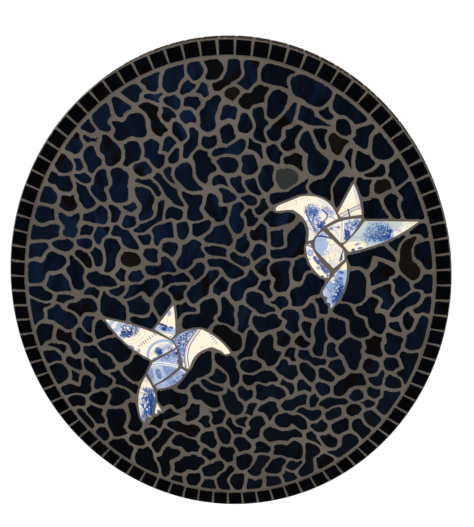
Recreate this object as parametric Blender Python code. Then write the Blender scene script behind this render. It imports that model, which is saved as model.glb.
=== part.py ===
"""Oval wall mosaic: two birds cut from blue-and-white china in a field of dark glass.

A plywood board carries a grouted face of irregular navy glass pieces, a border of square
black tiles and a second row of the same tiles round its edge. The front looks towards -Y,
up is +Z, and the origin is the centre of the flat back.
"""
import math

import bmesh
import bpy
import numpy as np

# Panel, in metres
PANEL_WIDTH = 0.640
PANEL_HEIGHT = 0.720
BOARD_THICKNESS = 0.021
FIT_GAP = 0.0003

# Square glass tiles of the border and of the edge
TILE_SIDE = 0.020
TILE_THICKNESS = 0.004
TILE_JOINT = 0.0032
EDGE_ADHESIVE = 0.001
FACE_ADHESIVE = 0.001
GROUT_RECESS = 0.001
OUTER_BEAD = 0.002
INNER_BEAD = 0.0012

# Irregular glass pieces of the field
SEED_PITCH = 0.0262
PIECE_JOINT = 0.0047
FIELD_MARGIN = 0.0034
BIRD_MARGIN = 0.0034
CORNER_ROUNDING = 0.0020
PAIR_SHARE = 0.7
LEAST_NECK = 0.0035
SPIKE_SHARE = 1.5
EDGE_BOW_SHARE = 0.6
EDGE_SWING_SHARE = 0.08
LEAST_REACH = 0.002
UNEVENNESS = (0.8, 1.25)
DRIFT_REACH = 0.0045
DRIFT_WAVE = 0.09
DRIFT_COUNT = 5
SEED_JITTER_SHARE = 0.5
SEED_ROOM = 0.003
FLANK_SHARE = 0.8
SETTLE_ROUNDS = 2
LEAST_MEETINGS = 4
NEIGHBOURS = 14
LEAST_PIECE_AREA = 0.00006
TIP_BACK_SHARE = 0.1
TIP_SIDE_SHARE = 0.62
FIELD_SEED = 7
SOFTNESS = 0.0007
DEPTH_LIMIT = 0.06
GRID_STEP = 0.003
RAY_STEP = 0.001

# China birds: overall width of each, beak to the far wing tip or wing tip to beak
CHINA_THICKNESS = 0.005
RIGHT_BIRD_SPAN = 0.199
LEFT_BIRD_SPAN = 0.188
RIGHT_WING_TIP_SHARE = (0.874, 0.389)
LEFT_WING_TIP_SHARE = (-0.597, -0.184)

# How finely round outlines are divided
OVAL_SIDES = 48
OVAL_SAMPLES = 7200
WELD_DISTANCE = 0.00002
BOW_CHORD = 0.014
PIECE_RAYS = 48
CORNER_AREA = 0.00008
HOLLOW_WEIGHT = 2.5
JOINT_SHARE = 0.38

# Levels measured from the back face towards the front
BOARD_FRONT = BOARD_THICKNESS
BED_BACK = BOARD_FRONT + FIT_GAP
TILE_FACE = BOARD_FRONT + FACE_ADHESIVE + TILE_THICKNESS
GROUT_FACE = TILE_FACE - GROUT_RECESS
CHINA_FACE = BED_BACK + CHINA_THICKNESS
EDGE_TILE_BACK = BOARD_FRONT - TILE_SIDE

# Shrinkage of each oval from the panel's outline
EDGE_GROUT_INSET = GROUT_RECESS
EDGE_TILE_INSET = TILE_THICKNESS / 2
BOARD_INSET = TILE_THICKNESS + EDGE_ADHESIVE
BORDER_MID_INSET = OUTER_BEAD + TILE_SIDE / 2
BORDER_INNER_INSET = OUTER_BEAD + TILE_SIDE + INNER_BEAD
FIELD_INSET = BORDER_INNER_INSET + FIT_GAP

# Corners of each shard in millimetres, clockwise: across, up, and how far the side to the
# next corner bows outwards.
RIGHT_BIRD = {
    "head": [(60, 132, 0), (63, 136, 0), (93, 152, 13), (148, 125, -4), (116, 91, 0), (109, 88, -9.5),
             (84, 132, 0), (76, 131, 0), (61, 128, 0)],
    "back_wing": [(164, 177, 2), (180, 134, 0), (151, 127, 0), (147, 133, 0)],
    "shoulder": [(134, 110, 4), (180, 128, 3), (159, 91, 0), (155, 90, 0)],
    "body": [(129, 105, 0), (161, 79, 0), (163, 66, 0), (149, 51, 0), (121, 76, 5.5)],
    "wing": [(185, 125, 0), (259, 131, 7), (168, 78, 0), (159, 87, -1.5)],
    "belly": [(107, 82, 0), (113, 85, -3), (144, 46, 0), (144, 36, 0), (134, 36, 6.5)],
    "tail": [(166, 63, 9), (151, -11, 0), (150, -3, 0), (144, -1, 0), (145, 6, 0), (139, 8, 0),
             (137, 14, 2)],
}
LEFT_BIRD = {
    "head": [(-75, -84, 5), (-34, -63, 3.5), (8, -92, 0), (11, -97, 0), (4, -100, -1.5), (-17, -90, -8),
             (-48, -129, 0), (-53, -129, 0), (-59, -126, -3)],
    "back_wing": [(-77, -29, 1), (-72, -75, 0), (-78, -83, 0), (-103, -70, 0)],
    "wing": [(-177, -62, 4.5), (-79, -86, 2), (-71, -97, 0), (-105, -121, 7)],
    "body": [(-69, -99, 1), (-65, -128, 2), (-101, -162, 0), (-111, -143, 0), (-104, -125, 0)],
    "belly": [(-61, -130, 0), (-53, -134, 8), (-96, -168, 0), (-98, -163, -2)],
    "tail": [(-114, -149, 2), (-98, -181, 1), (-103, -219, 0), (-107, -213, 0), (-111, -218, 0),
             (-113, -228, 0), (-118, -221, 7.5)],
    "tail_chip": [(-95, -192, 0), (-87, -206, 0), (-93, -204, 0), (-94, -211, 0), (-98, -209, 0)],
}
RIGHT_WING_TIP = (259, 131)
LEFT_WING_TIP = (-177, -62)

# Colours: red, green, blue, roughness
MATERIALS = {
    "plywood": (0.42, 0.30, 0.18, 0.75),
    "black_glass": (0.012, 0.014, 0.018, 0.12),
    "navy_glass": (0.010, 0.020, 0.050, 0.15),
    "glazed_china": (0.85, 0.82, 0.70, 0.12),
}


def half_sizes(inset):
    """Half width and half height of the panel's oval shrunk by an inset."""
    return PANEL_WIDTH / 2 - inset, PANEL_HEIGHT / 2 - inset


def oval_points(inset, count=OVAL_SIDES):
    """Corners of an oval: across = half width times sine, up = half height times cosine."""
    half_width, half_height = half_sizes(inset)
    angle = np.arange(count) * 2 * math.pi / count
    return np.column_stack((half_width * np.sin(angle), half_height * np.cos(angle)))


def oval_stations(inset, pitch):
    """Points at equal steps along an oval, near a pitch apart, with the way along and out."""
    fine = oval_points(inset, OVAL_SAMPLES)
    step = np.hypot(*(np.roll(fine, -1, axis=0) - fine).T)
    run = np.concatenate(([0.0], np.cumsum(step)))
    closed = np.vstack((fine, fine[:1]))
    count = max(3, round(run[-1] / pitch))
    place = np.arange(count) * run[-1] / count
    centre = np.column_stack([np.interp(place, run, closed[:, k]) for k in (0, 1)])
    half_width, half_height = half_sizes(inset)
    outward = centre / np.array([half_width ** 2, half_height ** 2])
    outward /= np.hypot(outward[:, 0], outward[:, 1])[:, None]
    along = np.column_stack((outward[:, 1], -outward[:, 0]))
    return centre, along, outward


def bowed_outline(corners, place):
    """Closed outline through the corners, each bowed side a parabola over its chord."""
    points = []
    scale, shift = place
    for (x0, z0, bow), (x1, z1, _) in zip(corners, corners[1:] + corners[:1]):
        start, end = np.array((x0, z0)), np.array((x1, z1))
        length = math.dist(start, end)
        outward = np.array((z0 - z1, x1 - x0)) / length
        steps = max(2, round(length * scale / BOW_CHORD)) if bow else 1
        for share in np.arange(steps) / steps:
            lift = 4 * bow * share * (1 - share)
            points.append(start + (end - start) * share + outward * lift)
    return np.array(points) * scale + shift


def bird_outlines(shards, drawn_tip, span, tip_share):
    """Outline of each shard of a bird, hung from its outer wing tip's place in the field."""
    across = [x for corners in shards.values() for x, _, _ in corners]
    scale = span / (max(across) - min(across))
    tip = np.array(tip_share) * half_sizes(FIELD_INSET)
    place = (scale, tip - np.array(drawn_tip) * scale)
    return {name: bowed_outline(corners, place) for name, corners in shards.items()}


def grown_outline(points, distance):
    """The outline moved out by a distance, each corner along its mitre."""
    before, after = points - np.roll(points, 1, axis=0), np.roll(points, -1, axis=0) - points
    normals = []
    for side in (before, after):
        normal = np.column_stack((-side[:, 1], side[:, 0]))
        normals.append(normal / np.hypot(normal[:, 0], normal[:, 1])[:, None])
    spread = 1 + np.sum(normals[0] * normals[1], axis=1, keepdims=True)
    return points + distance * (normals[0] + normals[1]) / spread


def outline_distance(x, z, outline):
    """Distance from points to a closed outline, negative inside it."""
    ax, az = outline[:, 0], outline[:, 1]
    side_x, side_z = np.roll(ax, -1) - ax, np.roll(az, -1) - az
    from_x, from_z = x[..., None] - ax, z[..., None] - az
    share = np.clip((from_x * side_x + from_z * side_z) / (side_x ** 2 + side_z ** 2), 0, 1)
    distance = np.hypot(from_x - share * side_x, from_z - share * side_z).min(axis=-1)
    spans = (az > z[..., None]) != (az + side_z > z[..., None])
    slope = side_x / np.where(side_z == 0, 1e-12, side_z)
    crossings = np.sum(spans & (x[..., None] < ax + from_z * slope), axis=-1)
    return np.where(crossings % 2 == 1, -distance, distance)


def oval_depth(x, z, inset):
    """How far points lie inside an oval: one minus its level, over the level's slope."""
    half_width, half_height = half_sizes(inset)
    level = np.maximum(np.hypot(x / half_width, z / half_height), 1e-6)
    slope = np.hypot(x / half_width ** 2, z / half_height ** 2) / level
    return (1 - level) / np.maximum(slope, 1e-6)


def make_drift(rng):
    """A gentle bend of the plane: the sum of five sine waves in random directions."""
    waves = []
    for _ in range(DRIFT_COUNT):
        heading, phase, push = rng.uniform(0, 2 * math.pi, 3)
        waves.append((2 * math.pi / (DRIFT_WAVE * rng.uniform(*UNEVENNESS)), heading, phase, push))
    reach = DRIFT_REACH * math.sqrt(2 / DRIFT_COUNT)

    def drift(x, z):
        moved_x, moved_z = x, z
        for number, heading, phase, push in waves:
            wave = np.sin(number * (x * math.cos(heading) + z * math.sin(heading)) + phase)
            moved_x = moved_x + reach * wave * math.cos(push)
            moved_z = moved_z + reach * wave * math.sin(push)
        return moved_x, moved_z
    return drift


def soft_least(values, softness):
    """Smooth minimum: minus softness times the log of the summed exponentials."""
    total = sum(np.exp(-np.clip(value, -DEPTH_LIMIT, DEPTH_LIMIT) / softness) for value in values)
    return -softness * np.log(total)


class Field:
    """Plan of the irregular glass pieces: where they may lie, their seeds and their edges."""

    def __init__(self, shards, tips):
        self.rng = np.random.default_rng(FIELD_SEED)
        self.drift = make_drift(self.rng)
        self.shards = shards
        self.flanks = self.flanking_seeds(tips)
        self.seeds = self.sow()
        half_width, half_height = half_sizes(FIELD_INSET)
        across = np.arange(-half_width, half_width + GRID_STEP, GRID_STEP)
        up = np.arange(-half_height, half_height + GRID_STEP, GRID_STEP)
        self.grid_x, self.grid_z = np.meshgrid(across, up)
        self.inside = self.room(self.grid_x, self.grid_z) > 0
        for _ in range(SETTLE_ROUNDS):
            self.settle()
        self.owner = self.owners()
        self.edges, self.meetings = self.shared_edges()

    def room(self, x, z):
        """Free distance to the border band and to the birds, after the drift."""
        x, z = self.drift(x, z)
        free = oval_depth(x, z, FIELD_INSET) - FIELD_MARGIN
        for outline in self.shards:
            low, high = outline.min(axis=0) - SEED_PITCH, outline.max(axis=0) + SEED_PITCH
            near = (x > low[0]) & (x < high[0]) & (z > low[1]) & (z < high[1])
            clear = outline_distance(x[near], z[near], outline) - BIRD_MARGIN
            free[near] = np.minimum(free[near], clear)
        return free

    def flanking_seeds(self, tips):
        """Two seeds beside each sharp tip, so that a joint and not a piece meets the tip."""
        seeds = []
        for tip, outward in tips:
            start = tip
            for _ in range(4):
                start = start + tip - np.array(self.drift(start[0], start[1]))
            sideways = np.array((-outward[1], outward[0]))
            for side in (-1, 1):
                share = side * TIP_SIDE_SHARE * sideways - TIP_BACK_SHARE * outward
                seeds.append(start + share * SEED_PITCH)
        return np.array(seeds)

    def sow(self):
        """Seeds on staggered rows, each shaken, kept where there is room."""
        half_width, half_height = half_sizes(FIELD_INSET)
        rows = []
        heights = np.arange(-half_height - SEED_PITCH, half_height + SEED_PITCH,
                            SEED_PITCH * math.sqrt(3) / 2)
        for number, height in enumerate(heights):
            across = np.arange(-half_width - SEED_PITCH, half_width + SEED_PITCH, SEED_PITCH)
            across = across + (number % 2) * SEED_PITCH / 2
            rows.append(np.column_stack((across, np.full_like(across, height))))
        seeds = np.concatenate(rows)
        shake = self.rng.uniform(-SEED_JITTER_SHARE, SEED_JITTER_SHARE, seeds.shape)
        seeds = seeds + shake * SEED_PITCH
        away = np.hypot(*(seeds[:, None] - self.flanks).transpose(2, 0, 1)).min(axis=1)
        kept = (self.room(seeds[:, 0], seeds[:, 1]) > SEED_ROOM) & (away > FLANK_SHARE * SEED_PITCH)
        return np.concatenate((self.flanks, seeds[kept]))

    def owners(self):
        """Number of the nearest seed at each grid point, or -1 where no glass may lie."""
        across = self.grid_x[..., None] - self.seeds[:, 0]
        up = self.grid_z[..., None] - self.seeds[:, 1]
        return np.where(self.inside, (across ** 2 + up ** 2).argmin(axis=-1), -1)

    def settle(self):
        """Moves each seed to the middle of the ground that is nearest to it."""
        owner = self.owners()[self.inside]
        count = len(self.seeds)
        size = np.bincount(owner, minlength=count)
        middle = [np.bincount(owner, grid[self.inside], count) / np.maximum(size, 1)
                  for grid in (self.grid_x, self.grid_z)]
        fixed = len(self.flanks)
        moved = np.column_stack(middle)[fixed:][size[fixed:] > LEAST_MEETINGS]
        self.seeds = np.concatenate((self.flanks, moved))

    def shared_edges(self):
        """For each two neighbours: the middle, direction and reach of their edge, and its bend."""
        owner = self.owner
        meetings = {}
        for first, second, x, z in (
                (owner[:, :-1], owner[:, 1:], self.grid_x[:, :-1], self.grid_z[:, :-1]),
                (owner[:-1], owner[1:], self.grid_x[:-1], self.grid_z[:-1])):
            met = (first != second) & (first >= 0) & (second >= 0)
            for i, j, px, pz in zip(first[met], second[met], x[met], z[met]):
                spot = (px + GRID_STEP / 2, pz + GRID_STEP / 2)
                meetings.setdefault((min(i, j), max(i, j)), []).append(spot)
        edges = {}
        for pair in sorted(meetings):
            spots = np.array(meetings[pair])
            middle = spots.mean(axis=0)
            between = self.seeds[pair[1]] - self.seeds[pair[0]]
            along = np.array((-between[1], between[0])) / np.hypot(*between)
            reach = max(np.ptp((spots - middle) @ along) / 2, LEAST_REACH)
            bow = self.rng.uniform(-1, 1) * EDGE_BOW_SHARE * reach
            swing = self.rng.uniform(-1, 1) * EDGE_SWING_SHARE * reach
            joint = PIECE_JOINT * self.rng.uniform(*UNEVENNESS)
            if self.flank_a_tip(pair):
                bow = swing = 0
            edges[pair] = (middle, along, reach, bow, swing, joint)
        return edges, meetings

    def flank_a_tip(self, pair):
        """Whether two seeds are the two beside one tip."""
        return max(pair) < len(self.flanks) and pair[0] // 2 == pair[1] // 2

    def groups(self):
        """Pieces as seed numbers: some seeds are joined in twos, which makes long pieces."""
        pairs = [pair for pair, spots in self.meetings.items()
                 if len(spots) >= LEAST_MEETINGS and not self.flank_a_tip(pair)]
        count = len(self.seeds)
        wanted = int(count * PAIR_SHARE / (1 + PAIR_SHARE))
        taken, joined = set(), []
        for number in self.rng.permutation(len(pairs)):
            i, j = pairs[number]
            if len(joined) < wanted and i not in taken and j not in taken:
                taken.update((i, j))
                joined.append((i, j))
        return joined + [(i,) for i in range(count) if i not in taken]

    def cell_depth(self, seed, group, x, z):
        """How far points lie inside a seed's cell, whose edges bow and swing as drawn."""
        away = np.hypot(*(self.seeds - self.seeds[seed]).T)
        own = (x - self.seeds[seed, 0]) ** 2 + (z - self.seeds[seed, 1]) ** 2
        depths = []
        for other in np.argsort(away)[1:NEIGHBOURS + 1]:
            if other in group:
                continue
            theirs = (x - self.seeds[other, 0]) ** 2 + (z - self.seeds[other, 1]) ** 2
            depth = (theirs - own) / (2 * away[other])
            edge = self.edges.get((min(seed, other), max(seed, other)))
            joint = PIECE_JOINT
            if edge:
                middle, along, reach, bow, swing, joint = edge
                place = (x - middle[0]) * along[0] + (z - middle[1]) * along[1]
                place = np.clip(place / reach, -1, 1)
                bend = bow * np.cos(math.pi * place / 2) + swing * np.sin(math.pi * place)
                depth = depth + (bend if seed < other else -bend)
            depths.append(depth - joint / 2)
        return soft_least(depths, SOFTNESS)

    def middle(self, group):
        """Where the two halves of a joined piece meet, or the deepest place of a single one."""
        if len(group) == 2:
            return np.mean(self.meetings[group], axis=0)
        own = self.owner == group[0]
        x, z = self.grid_x[own], self.grid_z[own]
        depth = np.minimum(self.cell_depth(group[0], group, x, z), self.room(x, z))
        deepest = depth.argmax()
        return np.array((x[deepest], z[deepest]))

    def outline(self, group):
        """Outline of a piece: where rays from its middle come to the end of its depth.

        A ray reaches at most a share further than the rays two places beside it, and a
        joined piece whose neck would be too narrow has no outline.
        """
        middle = self.middle(group)
        angle = np.arange(PIECE_RAYS) * 2 * math.pi / PIECE_RAYS
        run = np.arange(0, 2 * SEED_PITCH, RAY_STEP)
        x = middle[0] + run[:, None] * np.cos(angle)
        z = middle[1] + run[:, None] * np.sin(angle)
        cells = [self.cell_depth(seed, group, x, z) for seed in group]
        depth = cells[0] if len(cells) == 1 else -soft_least([-cell for cell in cells], SOFTNESS)
        depth = soft_least((depth, self.room(x, z)), SOFTNESS)
        if depth[0, 0] <= (LEAST_NECK if len(group) == 2 else 0):
            return None
        depth[-1] = np.minimum(depth[-1], -1e-6)
        end = (depth < 0).argmax(axis=0)
        ray = np.arange(PIECE_RAYS)
        last, first = depth[end - 1, ray], depth[end, ray]
        length = run[end - 1] + RAY_STEP * last / (last - first)
        beside = np.maximum(np.roll(length, 2), np.roll(length, -2))
        length = np.minimum(length, SPIKE_SHARE * beside)
        x, z = self.drift(middle[0] + length * np.cos(angle), middle[1] + length * np.sin(angle))
        return even_rounded(np.column_stack((x, z)))

    def outlines(self):
        """Outlines of all pieces; a joined piece that fails is tried as its two halves."""
        waiting = self.groups()
        done = []
        while waiting:
            group = waiting.pop(0)
            outline = self.outline(group)
            if outline is None:
                waiting.extend([(seed,) for seed in group] if len(group) == 2 else [])
            elif outline_area(outline) > LEAST_PIECE_AREA:
                done.append(outline)
        return done


def even_rounded(points):
    """The outline at even steps, averaged along its length with a bell of the rounding."""
    count = len(points)
    step = np.hypot(*(np.roll(points, -1, axis=0) - points).T)
    run = np.concatenate(([0.0], np.cumsum(step)))
    closed = np.vstack((points, points[:1]))
    place = np.arange(count) * run[-1] / count
    away = np.minimum(place, run[-1] - place)
    bell = np.exp(-0.5 * (away / CORNER_ROUNDING) ** 2)
    spectrum = np.fft.fft(bell / bell.sum())
    rounded = []
    for k in (0, 1):
        even = np.interp(place, run, closed[:, k])
        rounded.append(np.fft.ifft(np.fft.fft(even) * spectrum).real)
    return np.column_stack(rounded)


def corner_costs(points):
    """Area of each corner's triangle with its neighbours, counted for more in a hollow.

    The outlines run anticlockwise, so a hollow's corner turns the other way.
    """
    before, after = points - np.roll(points, 1, axis=0), np.roll(points, -1, axis=0) - points
    area = 0.5 * (before[:, 0] * after[:, 1] - before[:, 1] * after[:, 0])
    return np.where(area < 0, -area * HOLLOW_WEIGHT, area)


def outline_area(points):
    """Area inside a closed outline, by the shoelace rule."""
    after = np.roll(points, -1, axis=0)
    return 0.5 * abs(np.sum(points[:, 0] * after[:, 1] - points[:, 1] * after[:, 0]))


def fewer_corners(points, least_area):
    """Drops the corner that changes the outline least until each one left matters."""
    while len(points) > 4:
        costs = corner_costs(points)
        if costs.min() > least_area:
            break
        points = np.delete(points, costs.argmin(), axis=0)
    return points


def overreach(points, outline):
    """How far the sides of a plainer outline run outside the outline that it stands for."""
    sides = np.roll(points, -1, axis=0) - points
    along = np.concatenate([points + sides * share for share in (0, 0.25, 0.5, 0.75)])
    return outline_distance(along[:, 0], along[:, 1], outline).max()


def plain_piece(outline):
    """A piece with few corners and its full area, kept within its share of the joints."""
    least_area = CORNER_AREA
    middle = outline.mean(axis=0)
    while True:
        points = fewer_corners(outline, least_area)
        growth = math.sqrt(outline_area(outline) / outline_area(points))
        for share in (1, 0.5, 0):
            plainer = middle + (points - middle) * (1 + share * (growth - 1))
            if overreach(plainer, outline) < JOINT_SHARE * PIECE_JOINT:
                return plainer
        least_area /= 2


def clear_scene():
    """Removes everything that the opened scene holds."""
    for item in list(bpy.data.objects):
        bpy.data.objects.remove(item, do_unlink=True)


def make_collection(name):
    """A collection under the scene's own."""
    collection = bpy.data.collections.new(name)
    bpy.context.scene.collection.children.link(collection)
    return collection


def make_material(name):
    """A Principled material from the table of colours."""
    red, green, blue, roughness = MATERIALS[name]
    material = bpy.data.materials.new(name)
    material.use_nodes = True
    shader = material.node_tree.nodes["Principled BSDF"]
    shader.inputs["Base Color"].default_value = (red, green, blue, 1.0)
    shader.inputs["Roughness"].default_value = roughness
    material.diffuse_color = (red, green, blue, 1.0)
    return material


def outline_solid(name, outlines, back, front, collection):
    """A flat solid between two levels: a filled 2D curve, extruded and made a mesh."""
    curve = bpy.data.curves.new(name, "CURVE")
    curve.dimensions = "2D"
    curve.fill_mode = "BOTH"
    curve.extrude = (front - back) / 2
    for outline in outlines:
        spline = curve.splines.new("POLY")
        spline.points.add(len(outline) - 1)
        for point, (across, up) in zip(spline.points, outline):
            point.co = (across, up, 0, 1)
        spline.use_cyclic_u = True
    sketch = bpy.data.objects.new(name + "_outline", curve)
    sketch.rotation_euler = (math.pi / 2, 0, 0)
    sketch.location = (0, -(front + back) / 2, 0)
    collection.objects.link(sketch)
    bpy.context.view_layer.update()
    evaluated = sketch.evaluated_get(bpy.context.evaluated_depsgraph_get())
    mesh = bpy.data.meshes.new_from_object(evaluated)
    work = bmesh.new()
    work.from_mesh(mesh)
    bmesh.ops.remove_doubles(work, verts=work.verts, dist=WELD_DISTANCE)
    work.to_mesh(mesh)
    work.free()
    mesh.name = name
    solid = bpy.data.objects.new(name, mesh)
    solid.matrix_world = sketch.matrix_world.copy()
    collection.objects.link(solid)
    bpy.data.objects.remove(sketch, do_unlink=True)
    return solid


def raise_pieces(bed, outlines, collection):
    """Joins pieces that stand proud of their grout to the bed, by a Boolean union."""
    middle = (BED_BACK + GROUT_FACE) / 2
    pieces = outline_solid(bed.name + "_pieces", outlines, middle, TILE_FACE, collection)
    pieces.hide_render = True
    pieces.display_type = "WIRE"
    union = bed.modifiers.new("raised pieces", "BOOLEAN")
    union.operation = "UNION"
    union.solver = "EXACT"
    union.object = pieces


def square_outlines():
    """Four corners of each border tile, square to the oval that runs through the middles."""
    centre, along, outward = oval_stations(BORDER_MID_INSET, TILE_SIDE + TILE_JOINT)
    half = TILE_SIDE / 2
    corners = [centre + half * (a * along + b * outward) for a, b in ((-1, -1), (-1, 1), (1, 1), (1, -1))]
    return list(np.stack(corners, axis=1))


def edge_outline():
    """Outline of the edge row seen from the front: a tile face, then a joint that dips."""
    centre, along, outward = oval_stations(EDGE_TILE_INSET, TILE_SIDE + TILE_JOINT)
    half, out = TILE_SIDE / 2, TILE_THICKNESS / 2
    start, end = centre - half * along + out * outward, centre + half * along + out * outward
    dip = (end + np.roll(start, -1, axis=0)) / 2
    dip = dip * (1 - GROUT_RECESS / np.hypot(dip[:, 0], dip[:, 1])[:, None])
    return np.stack((start, end, dip), axis=1).reshape(-1, 2)


def build_board(collection, material):
    """The plywood oval that carries everything."""
    board = outline_solid("backing_board", [oval_points(BOARD_INSET)], 0, BOARD_FRONT, collection)
    board.data.materials.append(material)


def build_edge(collection, material):
    """The row of tiles round the board's edge, in its grout."""
    inner = oval_points(BOARD_INSET - FIT_GAP)
    edge = outline_solid("edge_tiles", [edge_outline(), inner], EDGE_TILE_BACK, BOARD_FRONT, collection)
    edge.data.materials.append(material)


def build_border(collection, cutters, material):
    """The ring of square tiles on the face, in its grout."""
    ring = [oval_points(EDGE_GROUT_INSET), oval_points(BORDER_INNER_INSET)]
    border = outline_solid("border_tiles", ring, BED_BACK, GROUT_FACE, collection)
    border.data.materials.append(material)
    raise_pieces(border, square_outlines(), cutters)


def bird_tips(birds):
    """The four sharp ends of each bird, as points with the way they point."""
    tips = []
    for side in ("right_bird_", "left_bird_"):
        own = {name: outline for name, outline in birds.items() if name.startswith(side)}
        middle = np.concatenate(list(own.values())).mean(axis=0)
        for part in ("head", "back_wing", "wing", "tail"):
            outline = own[side + part]
            tip = outline[np.hypot(*(outline - middle).T).argmax()]
            way = tip - outline.mean(axis=0)
            tips.append((tip, way / np.hypot(*way)))
    return tips


def build_field(collection, cutters, material, birds):
    """The grout bed with its glass pieces and an opening for each shard of china."""
    openings = [grown_outline(outline, FIT_GAP) for outline in birds.values()]
    outlines = [oval_points(FIELD_INSET)] + openings
    field = outline_solid("field_glass", outlines, BED_BACK, GROUT_FACE, collection)
    field.data.materials.append(material)
    plan = Field(list(birds.values()), bird_tips(birds))
    pieces = [plain_piece(outline) for outline in plan.outlines()]
    raise_pieces(field, pieces, cutters)


def build_birds(collection, material, birds):
    """Each shard of china, standing on the board in its own opening."""
    for name, outline in birds.items():
        shard = outline_solid(name, [outline], BED_BACK, CHINA_FACE, collection)
        shard.data.materials.append(material)


def plan_birds():
    """Outlines of both birds' shards by their full names."""
    birds = {}
    for side, shards, tip, span, share in (
            ("right_bird_", RIGHT_BIRD, RIGHT_WING_TIP, RIGHT_BIRD_SPAN, RIGHT_WING_TIP_SHARE),
            ("left_bird_", LEFT_BIRD, LEFT_WING_TIP, LEFT_BIRD_SPAN, LEFT_WING_TIP_SHARE)):
        for name, outline in bird_outlines(shards, tip, span, share).items():
            birds[side + name] = outline
    return birds


def main():
    clear_scene()
    collection = make_collection("mosaic_panel")
    cutters = make_collection("raised_outlines")
    materials = {name: make_material(name) for name in MATERIALS}
    birds = plan_birds()
    build_board(collection, materials["plywood"])
    build_edge(collection, materials["black_glass"])
    build_border(collection, cutters, materials["black_glass"])
    build_field(collection, cutters, materials["navy_glass"], birds)
    build_birds(collection, materials["glazed_china"], birds)


main()
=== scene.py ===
"""Oval mosaic panel with two china birds: the looks of its glass, grout, wood and china.

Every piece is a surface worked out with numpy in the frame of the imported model: the front looks
towards -Y, up is +Z, and a level is a distance in front of the flat back.
"""
import math

import bpy
import numpy as np
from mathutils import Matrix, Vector


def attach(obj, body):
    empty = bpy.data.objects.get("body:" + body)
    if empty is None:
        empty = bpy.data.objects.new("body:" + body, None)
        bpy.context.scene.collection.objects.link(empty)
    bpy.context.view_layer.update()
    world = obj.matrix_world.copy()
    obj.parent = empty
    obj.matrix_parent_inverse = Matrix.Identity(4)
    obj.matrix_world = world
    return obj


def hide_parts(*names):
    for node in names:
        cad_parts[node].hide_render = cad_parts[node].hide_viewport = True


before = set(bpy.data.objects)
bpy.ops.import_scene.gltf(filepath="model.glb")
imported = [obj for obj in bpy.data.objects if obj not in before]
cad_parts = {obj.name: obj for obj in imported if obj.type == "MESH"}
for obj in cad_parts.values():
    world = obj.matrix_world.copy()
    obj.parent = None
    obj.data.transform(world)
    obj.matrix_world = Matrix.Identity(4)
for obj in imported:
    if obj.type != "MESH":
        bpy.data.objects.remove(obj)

bl_info = {
    "name": "Mosaic panel",
    "version": (1, 0, 0),
    "blender": (4, 5, 0),
    "location": "View3D > Sidebar > Mosaic",
    "description": "Builds the glass, grout, board and china of an oval mosaic panel",
    "category": "Add Mesh",
}

# Layout of the panel in metres, as the solids have it
PANEL_WIDTH = 0.640
PANEL_HEIGHT = 0.720
BOARD_FRONT = 0.021
BED_BACK = 0.0213
GROUT_FACE = 0.025
TILE_FACE = 0.026
CHINA_FACE = 0.0263
TILE_SIDE = 0.020
TILE_THICKNESS = 0.004
TILE_JOINT = 0.0032
EDGE_MIDDLE = 0.011
BOARD_INSET = 0.005
BORDER_MID_INSET = 0.012
BORDER_INNER_INSET = 0.0232
FIELD_INSET = 0.0235

# Plan of the irregular glass pieces
SEED_PITCH = 0.0262
PIECE_JOINT = 0.0047
FIELD_MARGIN = 0.0034
BIRD_MARGIN = 0.0034
CORNER_ROUNDING = 0.0020
PAIR_SHARE = 0.7
LEAST_NECK = 0.0035
SPIKE_SHARE = 1.5
EDGE_BOW_SHARE = 0.6
EDGE_SWING_SHARE = 0.08
LEAST_REACH = 0.002
UNEVENNESS = (0.8, 1.25)
DRIFT_REACH = 0.0045
DRIFT_WAVE = 0.09
DRIFT_COUNT = 5
SEED_JITTER_SHARE = 0.5
SEED_ROOM = 0.003
FLANK_SHARE = 0.8
SETTLE_ROUNDS = 2
LEAST_MEETINGS = 4
NEIGHBOURS = 14
LEAST_PIECE_AREA = 0.00006
TIP_BACK_SHARE = 0.1
TIP_SIDE_SHARE = 0.62
TIP_ROUNDS = 4
FIELD_SEED = 7
SOFTNESS = 0.0007
DEPTH_LIMIT = 0.06
GRID_STEP = 0.003
RAY_STEP = 0.001
PIECE_RAYS = 48
OVAL_SAMPLES = 7200
BOW_CHORD = 0.014

# Forms of the finish, in metres or as shares
OVAL_SIDES = 720
BOARD_SIDES = 288
TILE_PITCH = TILE_SIDE + TILE_JOINT
TILE_CORNER = 0.0009
TILE_CORNER_STEPS = 3
TILE_TURN = 0.008
TILE_LEAN = 0.006
PIECE_LEAN = 0.010
INNER_RING_SHARE = 0.5
GROUT_LEVEL = 0.0248
GROUT_RISE = 0.0004
GROUT_RISE_REACH = 0.0011
GROUT_RIM_LEVEL = 0.02488
GROUT_OVERLAP = 0.0004
GROUT_SEARCH = 0.004
OPEN_GROUT = 0.01
SHARD_CHORD = 0.0015
LEAST_COLUMNS = 12
LEAST_ROWS = 4
WIDEST_GLAZE_EDGE = 0.3
GLAZE_DROP_SHARE = 0.8
GLAZED_SLOPE = 3
GLAZED_START = 0.35
POINTS_AT_ONCE = 4000
NOISE_TABLE = 64

# Sizes and seeds of the random fields that make the grout and the glaze uneven
GROUT_CLOUDS = (0.013, 41)
GROUT_GRAINS = (0.004, 42)
GRAIN_SHARE = 0.6
BORDER_CLOUDS = (0.011, 21)
GLAZE_CLOUDS = (14.0, 5)

# Seeds of the random draws for each set of glass
EDGE_SEED = 31
BORDER_SEED = 32
GLASS_SEED = 33

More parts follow.
